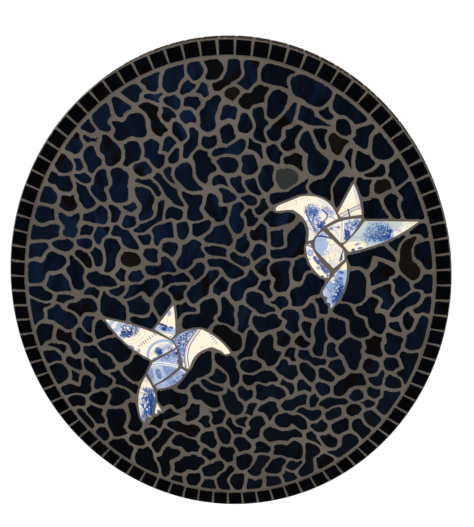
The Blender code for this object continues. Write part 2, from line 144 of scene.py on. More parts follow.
# Corners of each shard in millimetres, clockwise: across, up, and how far the side to the
# next corner bows outwards. The last two numbers of a shard are the corners where its ruled
# surface starts and ends.
RIGHT_BIRD = {
    "head": ([(60, 132, 0), (63, 136, 0), (93, 152, 13), (148, 125, -4), (116, 91, 0), (109, 88, -9.5),
              (84, 132, 0), (76, 131, 0), (61, 128, 0)], 0, 4),
    "back_wing": ([(164, 177, 2), (180, 134, 0), (151, 127, 0), (147, 133, 0)], 2, 0),
    "shoulder": ([(134, 110, 4), (180, 128, 3), (159, 91, 0), (155, 90, 0)], 0, 2),
    "body": ([(129, 105, 0), (161, 79, 0), (163, 66, 0), (149, 51, 0), (121, 76, 5.5)], 0, 3),
    "wing": ([(185, 125, 0), (259, 131, 7), (168, 78, 0), (159, 87, -1.5)], 2, 1),
    "belly": ([(107, 82, 0), (113, 85, -3), (144, 46, 0), (144, 36, 0), (134, 36, 6.5)], 0, 3),
    "tail": ([(166, 63, 9), (151, -11, 0), (150, -3, 0), (144, -1, 0), (145, 6, 0), (139, 8, 0),
              (137, 14, 2)], 0, 1),
}
LEFT_BIRD = {
    "head": ([(-75, -84, 5), (-34, -63, 3.5), (8, -92, 0), (11, -97, 0), (4, -100, -1.5), (-17, -90, -8),
              (-48, -129, 0), (-53, -129, 0), (-59, -126, -3)], 7, 3),
    "back_wing": ([(-77, -29, 1), (-72, -75, 0), (-78, -83, 0), (-103, -70, 0)], 2, 0),
    "wing": ([(-177, -62, 4.5), (-79, -86, 2), (-71, -97, 0), (-105, -121, 7)], 0, 2),
    "body": ([(-69, -99, 1), (-65, -128, 2), (-101, -162, 0), (-111, -143, 0), (-104, -125, 0)], 2, 0),
    "belly": ([(-61, -130, 0), (-53, -134, 8), (-96, -168, 0), (-98, -163, -2)], 2, 0),
    "tail": ([(-114, -149, 2), (-98, -181, 1), (-103, -219, 0), (-107, -213, 0), (-111, -218, 0),
              (-113, -228, 0), (-118, -221, 7.5)], 5, 0),
    "tail_chip": ([(-95, -192, 0), (-87, -206, 0), (-93, -204, 0), (-94, -211, 0), (-98, -209, 0)], 3, 0),
}

# For each bird its shards, the drawn place of a wing tip, the bird's span in metres, and where
# that tip lies in the field as shares of the field's half sizes
BIRDS = {
    "right_bird_": (RIGHT_BIRD, (259, 131), 0.199, (0.874, 0.389)),
    "left_bird_": (LEFT_BIRD, (-177, -62), 0.188, (-0.597, -0.184)),
}

# Pigments of the prints, as red, green and blue of a screen
PIGMENTS = {
    "cream": (245, 234, 212), "warm": (246, 231, 203), "blush": (243, 225, 205), "white": (246, 242, 230),
    "haze": (194, 203, 215), "sky": (160, 183, 212), "celadon": (188, 198, 194), "lilac": (128, 145, 195),
    "pale_lilac": (183, 194, 217), "soft_blue": (84, 115, 178), "cobalt": (40, 82, 152),
    "deep": (20, 56, 128), "navy": (24, 31, 84), "bright": (42, 96, 168), "mauve": (140, 114, 150),
    "line": (60, 62, 128), "grey": (128, 134, 156), "ash": (210, 207, 196), "leaf": (62, 104, 164),
    "slate": (146, 158, 194), "dark_leaf": (28, 70, 138),
}

# What is painted on each shard, in drawn millimetres: a ground, then what each brush of Glaze
# paints, in order: the brush, the pigment and what that brush is given
PRINTS = {
    "right_bird_head": ("cream", [
        ("wash", "blush", 66, 131, 10, 6, 0, 0.8), ("wash", "haze", 127, 148, 14, 6, -40, 0.45),
        ("wash", "haze", 112, 98, 6, 12, 0, 0.45), ("hatch", "cobalt", 111, 116, 8, 12, -58, 2.1, 0.75),
        ("wash", "pale_lilac", 113, 128, 12, 12, 0, 0.4),
        ("foliage", "lilac", 114, 124, 10, 14, 0, 1.2, 0.56),
        ("foliage", "soft_blue", 111, 135, 13, 11, 0, 1.1, 0.62),
        ("foliage", "cobalt", 106, 132, 9, 9, 0, 1.0, 0.55),
        ("foliage", "deep", 110, 129, 9, 8, 0, 0.9, 0.46),
        ("foliage", "cobalt", 117, 131, 7, 8, 0, 1.0, 0.52),
        ("stroke", "cobalt", [(102, 131), (107, 122), (113, 112), (118, 104)], 2.0, 0.9),
        ("stroke", "deep", [(115, 129), (113, 119), (117, 109)], 1.5, 0.85),
        ("foliage", "soft_blue", 131, 136, 10, 7, -35, 1.0, 0.58),
        ("foliage", "cobalt", 136, 131, 8, 6, -20, 1.0, 0.5),
        ("foliage", "lilac", 141, 134, 7, 7, 0, 1.1, 0.5),
        ("stroke", "cobalt", [(124, 136), (131, 131), (132, 125), (127, 117), (125, 110)], 2.2, 0.9),
        ("stroke", "soft_blue", [(132, 125), (138, 127), (144, 124)], 1.5, 0.8),
        ("foliage", "cobalt", 126, 114, 8, 7, 0, 1.3, 0.76),
        ("foliage", "deep", 124, 111, 5, 5, 0, 1.2, 0.66),
        ("foliage", "soft_blue", 120, 105, 6, 6, 0, 1.2, 0.7),
        ("foliage", "soft_blue", 121, 121, 5, 6, 0, 1.2, 0.6),
        ("row", "grey", (70, 137.5), (88, 146), 11, 1.5, 0.75),
        ("row", "grey", (71, 134), (88, 141.5), 10, 1.3, 0.65),
        ("row", "grey", (92, 147), (109, 154.5), 10, 1.5, 0.75),
        ("row", "grey", (97, 145.5), (108, 150), 7, 1.3, 0.65),
        ("stroke", "grey", [(87, 147), (89.5, 139)], 0.7, 0.5),
    ]),
    "right_bird_back_wing": ("warm", [
        ("stroke", "haze", [(164, 176), (170, 160), (177, 143)], 5.5, 0.75),
        ("wash", "white", 160, 160, 6, 14, 0, 0.4),
        ("band", "deep", [(148, 127.5), (160, 136), (178, 147)], 4.8, 2.6, 0.95),
        ("wash", "cream", 172, 136, 7, 3, 20, 0.6),
        ("stroke", "deep", [(160.5, 139.5), (163.5, 130)], 2.4, 0.9),
        ("stroke", "soft_blue", [(151, 128.5), (163, 131.5), (172, 134)], 0.8, 0.6),
    ]),
    "right_bird_shoulder": ("cream", [
        ("wash", "haze", 148, 113, 9, 5, 10, 0.5), ("wash", "pale_lilac", 169, 113, 12, 20, 0, 0.6),
        ("wash", "sky", 166, 117, 9, 8, 0, 0.45), ("foliage", "lilac", 172, 112, 9, 12, 0, 1.4, 0.55),
        ("flower", "cobalt", 165, 117, 7.6, 7, 0.9), ("foliage", "cobalt", 175, 121, 6, 8, 0, 1.4, 0.72),
        ("foliage", "deep", 162, 106, 5, 5, 20, 1.3, 0.85),
        ("foliage", "deep", 164, 99, 4.5, 6, -20, 1.3, 0.85),
        ("stroke", "deep", [(158.5, 112), (161, 103), (159, 94)], 1.6, 0.9),
        ("stroke", "white", [(155.5, 122), (157.5, 91)], 4.2, 0.9),
        ("stroke", "mauve", [(154.6, 122), (156.4, 91)], 1.3, 0.6),
        ("stroke", "navy", [(153.2, 122), (155.2, 91)], 0.45, 0.7),
        ("stroke", "line", [(157.4, 122), (158.6, 92)], 0.6, 0.8),
        ("stroke", "navy", [(135, 110), (143, 112.5), (152, 111.5)], 0.8, 0.85),
        ("stroke", "cobalt", [(139, 113), (147, 105), (152, 101)], 0.8, 0.6),
        ("foliage", "cobalt", 139, 109, 4.5, 2.6, 0, 1.2, 0.65),
        ("foliage", "navy", 150, 113, 2.6, 2, 0, 1, 0.7),
        ("hatch", "lilac", 149, 101, 4, 9, 96, 1.8, 0.45),
    ]),
    "right_bird_body": ("warm", [
        ("wash", "sky", 122, 83, 17, 22, -8, 1.0), ("wash", "warm", 146, 88, 9, 8, 0, 0.9),
        ("wash", "white", 143, 80, 6, 4, 0, 0.7), ("wash", "pale_lilac", 128, 103, 11, 6, 0, 0.95),
        ("foliage", "soft_blue", 129, 101, 8, 4, 0, 1.5, 0.45),
        ("stroke", "deep", [(118, 96.5), (130, 97.5), (144, 95)], 2.6, 0.95),
        ("stroke", "soft_blue", [(121, 91), (127, 92), (131, 94)], 0.8, 0.6),
        ("scallop", "slate", [(132, 92), (139, 88), (143, 82), (139, 76), (136, 70),
         (134, 61)], 5.6, 0.75),
        ("scallop", "slate", [(146, 88), (147, 80), (142, 72), (143, 64), (145, 55)], 5.0, 0.6),
        ("hatch", "lilac", 153, 72, 6, 14, 97, 2.1, 0.6),
        ("stroke", "cobalt", [(160.5, 82), (158.5, 73), (157, 63)], 2.4, 0.9),
        ("foliage", "deep", 158.5, 68, 2.6, 6, 10, 1.3, 0.7), ("wash", "haze", 146, 58, 6, 8, 0, 0.5),
        ("foliage", "soft_blue", 145, 57, 4, 5, 0, 1.1, 0.4),
    ]),
    "right_bird_wing": ("celadon", [
        ("wash", "warm", 174, 85, 17, 9, 22, 0.95), ("wash", "cream", 238, 113, 14, 9, 35, 0.85),
        ("wash", "cream", 250, 128, 14, 5, 8, 0.6), ("wash", "haze", 176, 113, 12, 9, 25, 0.5),
        ("wash", "sky", 208, 110, 20, 16, 0, 0.7), ("foliage", "leaf", 206, 110, 22, 18, 0, 1.2, 0.64),
        ("foliage", "leaf", 191, 101, 12, 11, 0, 1.0, 0.5),
        ("streaks", "dark_leaf", 214, 111, 14, 15, 1.0, 0.58),
        ("foliage", "dark_leaf", 205, 104, 13, 9, 10, 1.0, 0.55),
        ("streaks", "deep", 218, 108, 8, 12, 0.9, 0.5),
        ("foliage", "celadon", 204, 112, 22, 16, 0, 0.9, 0.34),
        ("foliage", "grey", 234, 117, 7, 6, 0, 0.9, 0.45),
        ("foliage", "leaf", 227, 101, 7, 6, 0, 1.1, 0.55),
        ("stroke", "grey", [(171, 101), (178, 100.5), (186, 101.5)], 0.7, 0.7),
        ("stroke", "grey", [(190, 124), (203, 124.5)], 0.6, 0.5),
        ("stroke", "grey", [(240, 127), (251, 128)], 0.6, 0.6),
        ("foliage", "leaf", 178, 90, 6, 2.6, 25, 1, 0.55),
        ("foliage", "deep", 173.5, 81.5, 2.6, 2.2, 0, 1.1, 0.85),
        ("foliage", "dark_leaf", 183, 85, 4.5, 1.8, 15, 1.1, 0.7),
    ]),
    "right_bird_belly": ("cream", [
        ("stroke", "cobalt", [(105, 81), (111, 82.2), (116, 79.5)], 2.6, 0.85),
        ("flower", "soft_blue", 114, 71.5, 5.6, 7, 0.8),
        ("foliage", "soft_blue", 110, 76, 3.5, 3, 0, 1, 0.55),
        ("foliage", "line", 113, 62, 2.4, 2.2, 0, 0.9, 0.6),
        ("foliage", "cobalt", 122, 62.5, 3, 5.5, 25, 1.8, 0.85),
        ("foliage", "deep", 128.5, 58, 5.2, 4.2, -35, 2.0, 0.85),
        ("foliage", "deep", 134.5, 51.5, 5, 5, 0, 2.0, 0.85),
        ("foliage", "cobalt", 140, 45.5, 6, 4, 0, 1.8, 0.85),
        ("stroke", "soft_blue", [(119, 68), (126, 61), (132, 56), (137, 49), (144, 44)], 1.0, 0.75),
        ("flower", "line", 127.5, 50, 3.0, 5, 0.8), ("foliage", "navy", 134.5, 37.5, 2.6, 1.8, 0, 1, 0.8),
        ("foliage", "soft_blue", 141.5, 39, 3, 3, 0, 1.2, 0.7),
    ]),
    "right_bird_tail": ("sky", [
        ("wash", "warm", 165, 59, 6, 10, -20, 1.0), ("wash", "cream", 149, 45, 5, 9, -15, 0.9),
        ("hatch", "bright", 157, 42, 9, 14, -52, 2.0, 0.85),
        ("foliage", "cobalt", 150, 41, 2.6, 3, 0, 1.2, 0.8),
        ("foliage", "cobalt", 161, 46, 4, 3, 0, 1.2, 0.7),
        ("foliage", "deep", 160.5, 37, 3.4, 2.4, 0, 1.1, 0.75),
        ("wash", "cream", 152, 33, 6, 3.5, 0, 0.85), ("foliage", "bright", 155, 33, 8, 4, 0, 1.2, 0.6),
        ("wash", "bright", 158, 18, 9, 20, -8, 0.45), ("foliage", "cobalt", 157, 15, 9, 18, -8, 1.2, 0.6),
        ("foliage", "deep", 159, 10, 7, 15, -10, 2.2, 0.66),
        ("hatch", "deep", 160, 22, 6, 12, -50, 3.8, 0.8),
        ("foliage", "haze", 154, 17, 9, 18, -20, 1.8, 0.4),
        ("foliage", "deep", 163, 20, 4, 12, -8, 1.7, 0.6),
        ("hatch", "cobalt", 147, 22, 8, 11, -58, 3.6, 0.55), ("wash", "haze", 141, 14, 3, 6, 0, 0.6),
        ("foliage", "deep", 154, 1, 3.4, 5, 0, 1.4, 0.7), ("wash", "haze", 151, -7, 2.4, 4, 0, 0.5),
    ]),
    "left_bird_head": ("cream", [
        ("stroke", "pale_lilac", [(-52, -62), (-63, -82), (-69, -98), (-69, -132)], 25, 0.95),
        ("foliage", "soft_blue", -66, -82, 14, 13, 0, 1.3, 0.66),
        ("foliage", "cobalt", -50, -69, 9, 6, 30, 1.2, 0.62),
        ("foliage", "soft_blue", -62, -106, 8, 20, 0, 1.6, 0.62),
        ("foliage", "deep", -60, -119, 4, 9, 0, 1.4, 0.55),
        ("foliage", "deep", -66, -96, 7, 6, 0, 1.1, 0.62),
        ("foliage", "deep", -56, -75, 8, 6, 30, 1.1, 0.6), ("flower", "navy", -60, -85.5, 9.4, 9, 1.0),
        ("foliage", "navy", -43, -65, 3, 2, 0, 1, 0.7),
        ("stroke", "cream", [(-36, -62), (-45, -76), (-52.5, -92), (-54.5, -110), (-51, -130)], 6.4, 1.0),
        ("stroke", "navy", [(-38.6, -61), (-47.6, -76), (-55, -92), (-57, -110),
         (-53.6, -130)], 1.4, 0.95),
        ("stroke", "line", [(-36.6, -61), (-45.6, -76), (-53, -92), (-55, -110),
         (-51.6, -130)], 0.8, 0.8),
        ("stroke", "line", [(-33.4, -61), (-42.4, -76), (-49.8, -92), (-51.8, -110),
         (-48.4, -130)], 1.4, 0.95),
        ("row", "cobalt", (-22, -68), (-9, -84), 5, 5.2, 0.85),
        ("foliage", "grey", -31, -92, 3, 1.6, 0, 0.9, 0.65),
        ("foliage", "grey", -13, -92.5, 2.6, 1.6, 0, 0.9, 0.65),
        ("foliage", "grey", -3, -95, 2.4, 1.8, 0, 0.9, 0.65),
    ]),
    "left_bird_back_wing": ("cream", [
        ("foliage", "lilac", -82.5, -42.5, 3.4, 5.4, -15, 1.1, 0.75),
        ("stroke", "grey", [(-83, -46), (-85, -51), (-84, -56)], 0.5, 0.7),
        ("row", "soft_blue", (-97, -56.5), (-75, -62.5), 13, 1.0, 0.7),
        ("stroke", "sky", [(-104, -66), (-88, -68), (-72, -72)], 12.5, 0.8),
        ("foliage", "soft_blue", -88, -67, 13, 6, -8, 1.5, 0.62),
        ("foliage", "cobalt", -89, -67, 6, 5, 0, 1.4, 0.6),
        ("stroke", "navy", [(-100, -59.5), (-94, -60.5), (-86, -63)], 3.2, 0.95),
        ("foliage", "deep", -89, -67.6, 2.8, 3.2, 0, 1.2, 0.9),
        ("foliage", "navy", -78.5, -65, 3.4, 2.2, -30, 1.1, 0.8),
        ("wash", "cream", -82, -77.5, 6, 3, -15, 0.85),
        ("foliage", "navy", -79, -80, 2.4, 1.6, 0, 0.9, 0.6),
    ]),
    "left_bird_wing": ("cream", [
        ("wash", "sky", -160, -75, 13, 17, 20, 0.95), ("wash", "white", -176, -62, 6, 4, 0, 0.9),
        ("wash", "cream", -163, -69, 3, 8, -35, 0.85), ("wash", "cream", -153, -78, 2.6, 9, -30, 0.85),
        ("wash", "cream", -157, -84, 2, 5, 30, 0.7), ("wash", "pale_lilac", -139, -73, 15, 13, 20, 0.5),
        ("foliage", "cobalt", -139, -72, 17, 13, 25, 1.2, 0.62),
        ("hatch", "deep", -139, -73, 15, 12, 38, 4.2, 0.8),
        ("hatch", "cobalt", -141, -72, 14, 12, -56, 4.6, 0.75),
        ("foliage", "deep", -145, -82, 11, 8, 30, 1.9, 0.72),
        ("foliage", "navy", -137, -77, 12, 7, 0, 1.7, 0.6),
        ("foliage", "white", -140, -71, 16, 11, 0, 1.6, 0.42),
        ("foliage", "soft_blue", -131, -68, 8, 6, 0, 1.4, 0.6),
        ("stroke", "cream", [(-121, -66), (-121, -78), (-128, -88), (-140, -94), (-152, -97)], 5.0, 1.0),
        ("row", "grey", (-121.5, -76), (-129, -87.5), 6, 1.8, 0.6),
        ("row", "grey", (-130, -88.5), (-141, -93.5), 6, 1.8, 0.6),
        ("stroke", "grey", [(-117.5, -73), (-118.5, -83), (-126, -91), (-137, -96.5),
         (-149, -98)], 0.5, 0.75),
        ("row", "line", (-127, -101), (-101, -77), 8, 7.0, 0.85),
        ("foliage", "cobalt", -136, -102.5, 6, 2.6, -30, 1.2, 0.7),
        ("foliage", "soft_blue", -126, -107.5, 5, 4, -20, 1.1, 0.6),
        ("wash", "haze", -85, -113, 24, 24, 0, 0.7), ("ring", "sky", -85, -113.2, 26.6, 4.2, 1.0),
        ("ring", "cream", -85, -113.2, 22.9, 2.6, 0.8), ("wash", "cream", -101, -115, 6, 7, 20, 0.7),
        ("foliage", "cobalt", -95.5, -105, 7.4, 7, 0, 1.5, 0.85),
        ("foliage", "deep", -94, -106.5, 4.4, 4, 0, 1.2, 0.7),
        ("stroke", "cobalt", [(-95, -108), (-96, -116)], 1.3, 0.9),
        ("stroke", "soft_blue", [(-104, -119), (-96, -114.5), (-86, -109)], 2.6, 0.8),
        ("rails", "cobalt", [(-89, -101), (-81, -94), (-72, -87)], 4, 2.0, 0.85),
        ("foliage", "deep", -79, -99, 5, 4, 35, 1.3, 0.6),
    ]),
    "left_bird_body": ("pale_lilac", [
        ("foliage", "soft_blue", -76, -108, 14, 11, 0, 1.6, 0.6),
        ("foliage", "lilac", -86, -117, 14, 6, 0, 1.4, 0.6),
        ("flower", "soft_blue", -75, -118, 6, 9, 0.7), ("ring", "navy", -83.8, -112.6, 2.9, 1.1, 0.9),
        ("foliage", "navy", -69, -106, 3.6, 3.4, 0, 1.2, 0.72),
        ("foliage", "deep", -66, -119, 2.6, 6, 0, 1.2, 0.6),
        ("foliage", "navy", -78, -108, 2.6, 2, 0, 1, 0.6),
        ("stroke", "slate", [(-112, -147), (-90, -140), (-58, -144)], 32, 0.95),
        ("foliage", "soft_blue", -78, -139, 20, 11, -30, 1.1, 0.5),
        ("stroke", "pale_lilac", [(-91, -130), (-81, -151)], 2.2, 0.9),
        ("stroke", "pale_lilac", [(-106, -133), (-88, -132)], 2.0, 0.8),
        ("stroke", "pale_lilac", [(-103, -134), (-98, -158)], 2.0, 0.8),
        ("stroke", "pale_lilac", [(-101, -157), (-80, -151)], 2.4, 0.85),
        ("stroke", "haze", [(-96.5, -135), (-92, -151)], 13, 0.6),
        ("stroke", "soft_blue", [(-95.8, -137.5), (-92.8, -147.5)], 7.5, 0.9),
        ("foliage", "slate", -94, -142, 4, 7, 15, 1.6, 0.5),
        ("hatch", "cobalt", -106, -147, 6, 11, -62, 2.0, 0.8),
        ("stroke", "pale_lilac", [(-84, -156), (-74, -145), (-65, -136)], 1.2, 0.7),
        ("stroke", "white", [(-107, -127.3), (-96, -124.2), (-85, -123.2), (-73, -124.4),
         (-60, -128)], 1.5, 1.0),
        ("stroke", "white", [(-107, -131), (-96, -127.6), (-85, -126.4), (-73, -127.4),
         (-60, -131)], 1.5, 1.0),
        ("stroke", "soft_blue", [(-107, -129.2), (-96, -126), (-85, -124.9), (-73, -126),
         (-60, -129.5)], 0.6, 0.8),
    ]),
    "left_bird_belly": ("slate", [
        ("foliage", "soft_blue", -76, -148, 22, 20, -45, 1.1, 0.5),
        ("foliage", "pale_lilac", -86, -160, 10, 8, 0, 1.2, 0.5),
        ("stroke", "pale_lilac", [(-93, -160), (-78, -152), (-58, -136)], 1.0, 0.7),
        ("stroke", "pale_lilac", [(-84, -150), (-76, -163)], 1.3, 0.7),
        ("stroke", "pale_lilac", [(-74, -141), (-64, -152)], 1.3, 0.7),
        ("foliage", "cobalt", -70, -153, 5, 4, 0, 1.1, 0.5),
        ("foliage", "navy", -57.5, -140.5, 2.4, 3, 0, 1, 0.65),
        ("stroke", "white", [(-66, -127), (-58, -130), (-50, -135)], 1.4, 0.95),
        ("stroke", "white", [(-68, -129.6), (-59, -133), (-50, -138.6)], 1.3, 0.95),
    ]),
    "left_bird_tail": ("cream", [
        ("stroke", "ash", [(-126, -152), (-104, -155)], 10, 0.85),
        ("stroke", "warm", [(-126, -161), (-100, -163)], 6, 0.8),
        ("row", "grey", (-122, -164.5), (-104, -165), 12, 0.9, 0.6),
        ("foliage", "cobalt", -110, -171, 14, 5.4, 0, 1.7, 0.66),
        ("stroke", "cobalt", [(-124, -176), (-112, -178), (-98, -182)], 1.2, 0.85),
        ("stroke", "cream", [(-124, -179), (-98, -185)], 1.6, 0.7),
        ("wash", "bright", -105, -196, 9, 22, 5, 0.75), ("wash", "haze", -119, -196, 5, 22, 3, 0.5),
        ("streaks", "bright", -108, -194, 12, 28, 1.6, 0.68),
        ("streaks", "deep", -105, -194, 9, 28, 1.5, 0.56),
        ("streaks", "cobalt", -111, -198, 11, 26, 1.3, 0.5),
        ("streaks", "cream", -113, -196, 12, 26, 1.2, 0.38),
        ("stroke", "deep", [(-119, -186), (-111, -184), (-101, -190)], 1.4, 0.8),
        ("wash", "bright", -115, -222, 4.5, 9, 0, 0.7),
        ("streaks", "cobalt", -115, -218, 5, 12, 1.4, 0.5),
        ("foliage", "lilac", -121, -192, 4, 12, 0, 1.2, 0.4),
    ]),
    "left_bird_tail_chip": ("warm", [
        ("foliage", "lilac", -91.5, -204.5, 3.2, 2.2, 0, 1.2, 0.9),
        ("wash", "haze", -96, -206, 2.4, 4, 0, 0.4),
    ]),
}

# Places in millimetres of the odd pieces in the field, with the colour of each
ODD_PIECES = {
    "charcoal": ((71, 170),),
    "soot": ((65, 193), (12, 293), (-22, 328), (-132, 235), (14, -87)),
    "umber": ((215, 173), (150, 233), (-150, 43), (-25, 290), (255, 75)),
}
ODD_COLOURS = {
    "charcoal": (0.026, 0.028, 0.027),
    "soot": (0.0022, 0.0024, 0.003),
    "umber": (0.0056, 0.0042, 0.0034),
}

# Colour of the broken rim of a shard, as red, green and blue of a screen
BISCUIT = (214, 200, 178)

# Width of a brush stroke's soft edge, in drawn millimetres
BRUSH_EDGE = 0.35

# Shifts that keep the paint and the dish, in drawn millimetres, and the grout, in metres,
# clear of the start of the random fields
PAINT_SHIFT = 500
DISH_SHIFT = 300
GROUT_SHIFT = 1

# Pairs of inset and drop from the face, in metres, along a section of each rim, and how many
# of them belong to the broken rim; then the steps of a shard's rounded edge
GLASS_RIM = ((0.0, 0.0016), (0.0, 0.0006), (0.00014, 0.00028), (0.00045, 0.00008), (0.0010, 0.0))
TILE_RIM = ((0.0, 0.0), (0.0, 0.00042), (0.00016, 0.00014), (0.00048, 0.0))
GLASS_RIM_RINGS = 3
TILE_RIM_RINGS = 2
GLAZE_STEPS = (0.0, 0.1, 0.28, 0.55, 1.0)

# Steps of a brush stroke's curve from one of its points to the next
CURVE_STEPS = 5

# Pairs of inset and level, in metres, along a section of the board and of each band of grout
BOARD_EDGE = ((0.0009, 0.0), (0.0003, 0.0002), (0.0, 0.0008), (0.0, BOARD_FRONT))
EDGE_GROUT = ((0.0009, 0.0011), (0.0003, 0.0016), (0.0002, 0.011), (0.0003, 0.0206), (0.0009, 0.0211),
              (0.0047, 0.0211), (0.0047, 0.0011))
BORDER_GROUT = ((0.0011, BED_BACK), (0.00055, 0.0226), (0.0006, 0.0242), (0.0009, 0.0250),
                (0.0015, 0.02535), (0.0045, GROUT_FACE), (0.0085, GROUT_FACE), (0.0125, GROUT_FACE),
                (0.0165, GROUT_FACE), (0.0200, GROUT_FACE), (BORDER_INNER_INSET, 0.0249),
                (BORDER_INNER_INSET, BED_BACK))

# Looks of glass: where noise starts and ends to show an effect, then sizes and strengths
STREAK_SPAN = (0.42, 0.68)
FINE_STREAK_SPAN = (0.2, 0.8, 0.6, 1.0)
SMOKE_SPAN = (0.635, 0.71)
SMOKE_STRETCH = (30.0, 30.0, 14.0)
# Pale patches on the broken rim of the glass: partly the lighter broken edge, partly painted glints
CHIP_AND_GLINT_SPAN = (0.56, 0.64, 0.0, 0.8)
CHIP_AND_GLINT_SCALE = 260.0
CHIP_AND_GLINT_COLOUR = (0.36, 0.34, 0.32, 1.0)
FACE_RELIEF = 0.00005
RIM_RELIEF = 0.0004
MARK_REACH = 4.0
SLANT = 0.6
ROUGHNESS_RANGE = 0.08
BORDER_SMOKE_SHARE = 0.5

# For each set of glass: width and length of its streaks and its roughness, and how much the
# depth of the tint and the strength of the streaks differ from piece to piece
EDGE_LOOKS = (0.012, 0.03, 0.12)
BORDER_LOOKS = (0.012, 0.03, 0.1)
FIELD_LOOKS = (0.013, 0.06, 0.08)
# For the edge tiles this spreads their brown painted reflection from tile to tile
EDGE_REFLECTION_SPREAD = (0.7, 1.3)
BORDER_TINTS = (0.6, 1.4)
FIELD_TINTS = (0.7, 1.3)
BORDER_STREAKS = (0, 0.12)
FIELD_STREAKS = (0.15, 1.0)

# How the field's glass changes over the panel: the share everywhere, towards the upper left
# and in two corners, for the depth of the tint and for the streaks; what changes low down
DEPTH_SHARES = (0.88, 0.1, 0.35)
STREAK_SHARES = (0.6, 0.25, 0.25)
UP_WEIGHT = 0.7
SLANT_REACH = 0.35
CORNER_REACH = 0.035
LOW_REACH = 0.25
LOW_SHIFT = (0.3, -0.15, -0.4)
LOW_STREAK_LOSS = 0.65

# Looks of the other materials
WHITE = (1.0, 1.0, 1.0, 1.0)
SAND = (0.80, 0.79, 0.78, 1.0)
FLECK = (0.78, 0.74, 0.70, 1.0)
GLAZE_SHADE = (0.965, 0.965, 0.95, 1.0)
PLY_PITCH = 0.0028

# Kinds of sockets of a node group
VECTOR = "NodeSocketVector"
COLOUR = "NodeSocketColor"
NUMBER = "NodeSocketFloat"

# The stage: for each light its name, place, target, size, power and colour, and the camera,
# whose turn is in degrees about X, Y and Z
FLOOR_REACH = 60.0
FLOOR_LEVEL = -1.15
FLOOR_GLOW = 0.12
LIGHTS = (
    ("key_light", (-1.3, -2.2, 2.3), (0, 0, 0.05), 0.7, 34.0, (1.0, 0.985, 0.96)),
    ("fill_light", (1.9, -2.2, 0.9), (0, 0, 0), 1.2, 6.0, (0.97, 0.985, 1.0)),
)
WORLD_LIGHT = (0.93, 0.93, 0.93, 1.0)
WORLD_MIRRORED = (0.03, 0.03, 0.032, 1.0)
CAMERA_SENSOR = 36.0
CAMERA_LENS = 72.65
CAMERA_SHIFT = 0.0759
CAMERA_PLACE = (0.1014, -1.4522, 0.5683)
CAMERA_TURN = (67.684, -3.807, 4.998)


def colour_property(label, about, value):
    """A colour that the panel in the sidebar shows."""
    return bpy.props.FloatVectorProperty(name=label, description=about, default=value, size=3,
                                         subtype="COLOR", min=0.0, max=1.0)


def length_property(label, about, value):
    """A length in metres that the panel in the sidebar shows."""
    return bpy.props.FloatProperty(name=label, description=about, default=value, min=0.0,
                                   unit="LENGTH", precision=5)


class MosaicSizes(bpy.types.PropertyGroup):
    """Sizes of the finish that the solids leave open."""

    glass_lean: length_property("Glass lean", "Most that a piece's face rises at its edge", 0.0002)
    glaze_edge: length_property("Glaze edge", "Width of the rounded edge of a shard", 0.0007)
    glaze_dish: length_property("Glaze dish", "How far a shard's middle lies below its top", 0.00012)
    print_pitch: length_property("Print pitch", "Distance between painted points of a shard", 0.00046)
    grout_pitch: length_property("Grout pitch", "Distance between points of the field's grout", 0.0024)
    grout_relief: length_property("Grout relief", "Unevenness of the wiped grout", 0.00016)
    tile_shake: length_property("Tile shake", "How far a border tile sits from its even place", 0.00025)


class MosaicColours(bpy.types.PropertyGroup):
    """Colours of the finish."""

    navy: colour_property("Navy glass", "Body of the field's glass", (0.0016, 0.0036, 0.0088))
    streak: colour_property("Streaks", "Lighter streaks in the glass", (0.0036, 0.0142, 0.0430))
    smoke: colour_property("Smoke", "Brownish black places in the glass", (0.0030, 0.0016, 0.0014))
    black: colour_property("Black glass", "Body of the square tiles", (0.0003, 0.0004, 0.0008))
    # Painted reflection: the edge tiles are black glass, and this brown stands in for the warm
    # surroundings mirrored in them
    edge_painted_reflection: colour_property("Edge glass", "Body of the tiles on the edge", (0.0480, 0.0320, 0.0180))
    grout: colour_property("Grout", "Dry cement grout", (0.134, 0.113, 0.093))
    grout_dark: colour_property("Grout, darker", "Where the grout is denser", (0.100, 0.084, 0.070))
    birch: colour_property("Birch", "Face veneer of the board", (0.56, 0.42, 0.27))
    birch_dark: colour_property("Birch, darker", "Grain and plies of the board", (0.36, 0.24, 0.14))
    floor: colour_property("Floor", "Pale floor under the panel", (0.96, 0.96, 0.96))


def half_sizes(inset):
    """Half width and half height of the panel's oval shrunk by an inset."""
    return PANEL_WIDTH / 2 - inset, PANEL_HEIGHT / 2 - inset


def oval_points(inset, count):
    """Corners of an oval: across = half width times cosine, up = half height times sine."""
    half_width, half_height = half_sizes(inset)
    angle = np.arange(count) * 2 * math.pi / count
    return np.column_stack((half_width * np.cos(angle), half_height * np.sin(angle)))


def oval_stations(inset, pitch):
    """Points at equal steps along an oval, near a pitch apart, with the way along and out.

    They start at the top and run clockwise.
    """
    half_width, half_height = half_sizes(inset)
    angle = np.arange(OVAL_SAMPLES) * 2 * math.pi / OVAL_SAMPLES
    fine = np.column_stack((half_width * np.sin(angle), half_height * np.cos(angle)))
    step = np.hypot(*(np.roll(fine, -1, axis=0) - fine).T)
    run = np.concatenate(([0.0], np.cumsum(step)))
    closed = np.vstack((fine, fine[:1]))
    count = max(3, round(run[-1] / pitch))
    place = np.arange(count) * run[-1] / count
    centre = np.column_stack([np.interp(place, run, closed[:, k]) for k in (0, 1)])
    outward = centre / np.array([half_width ** 2, half_height ** 2])
    outward /= np.hypot(outward[:, 0], outward[:, 1])[:, None]
    along = np.column_stack((outward[:, 1], -outward[:, 0]))
    return centre, along, outward


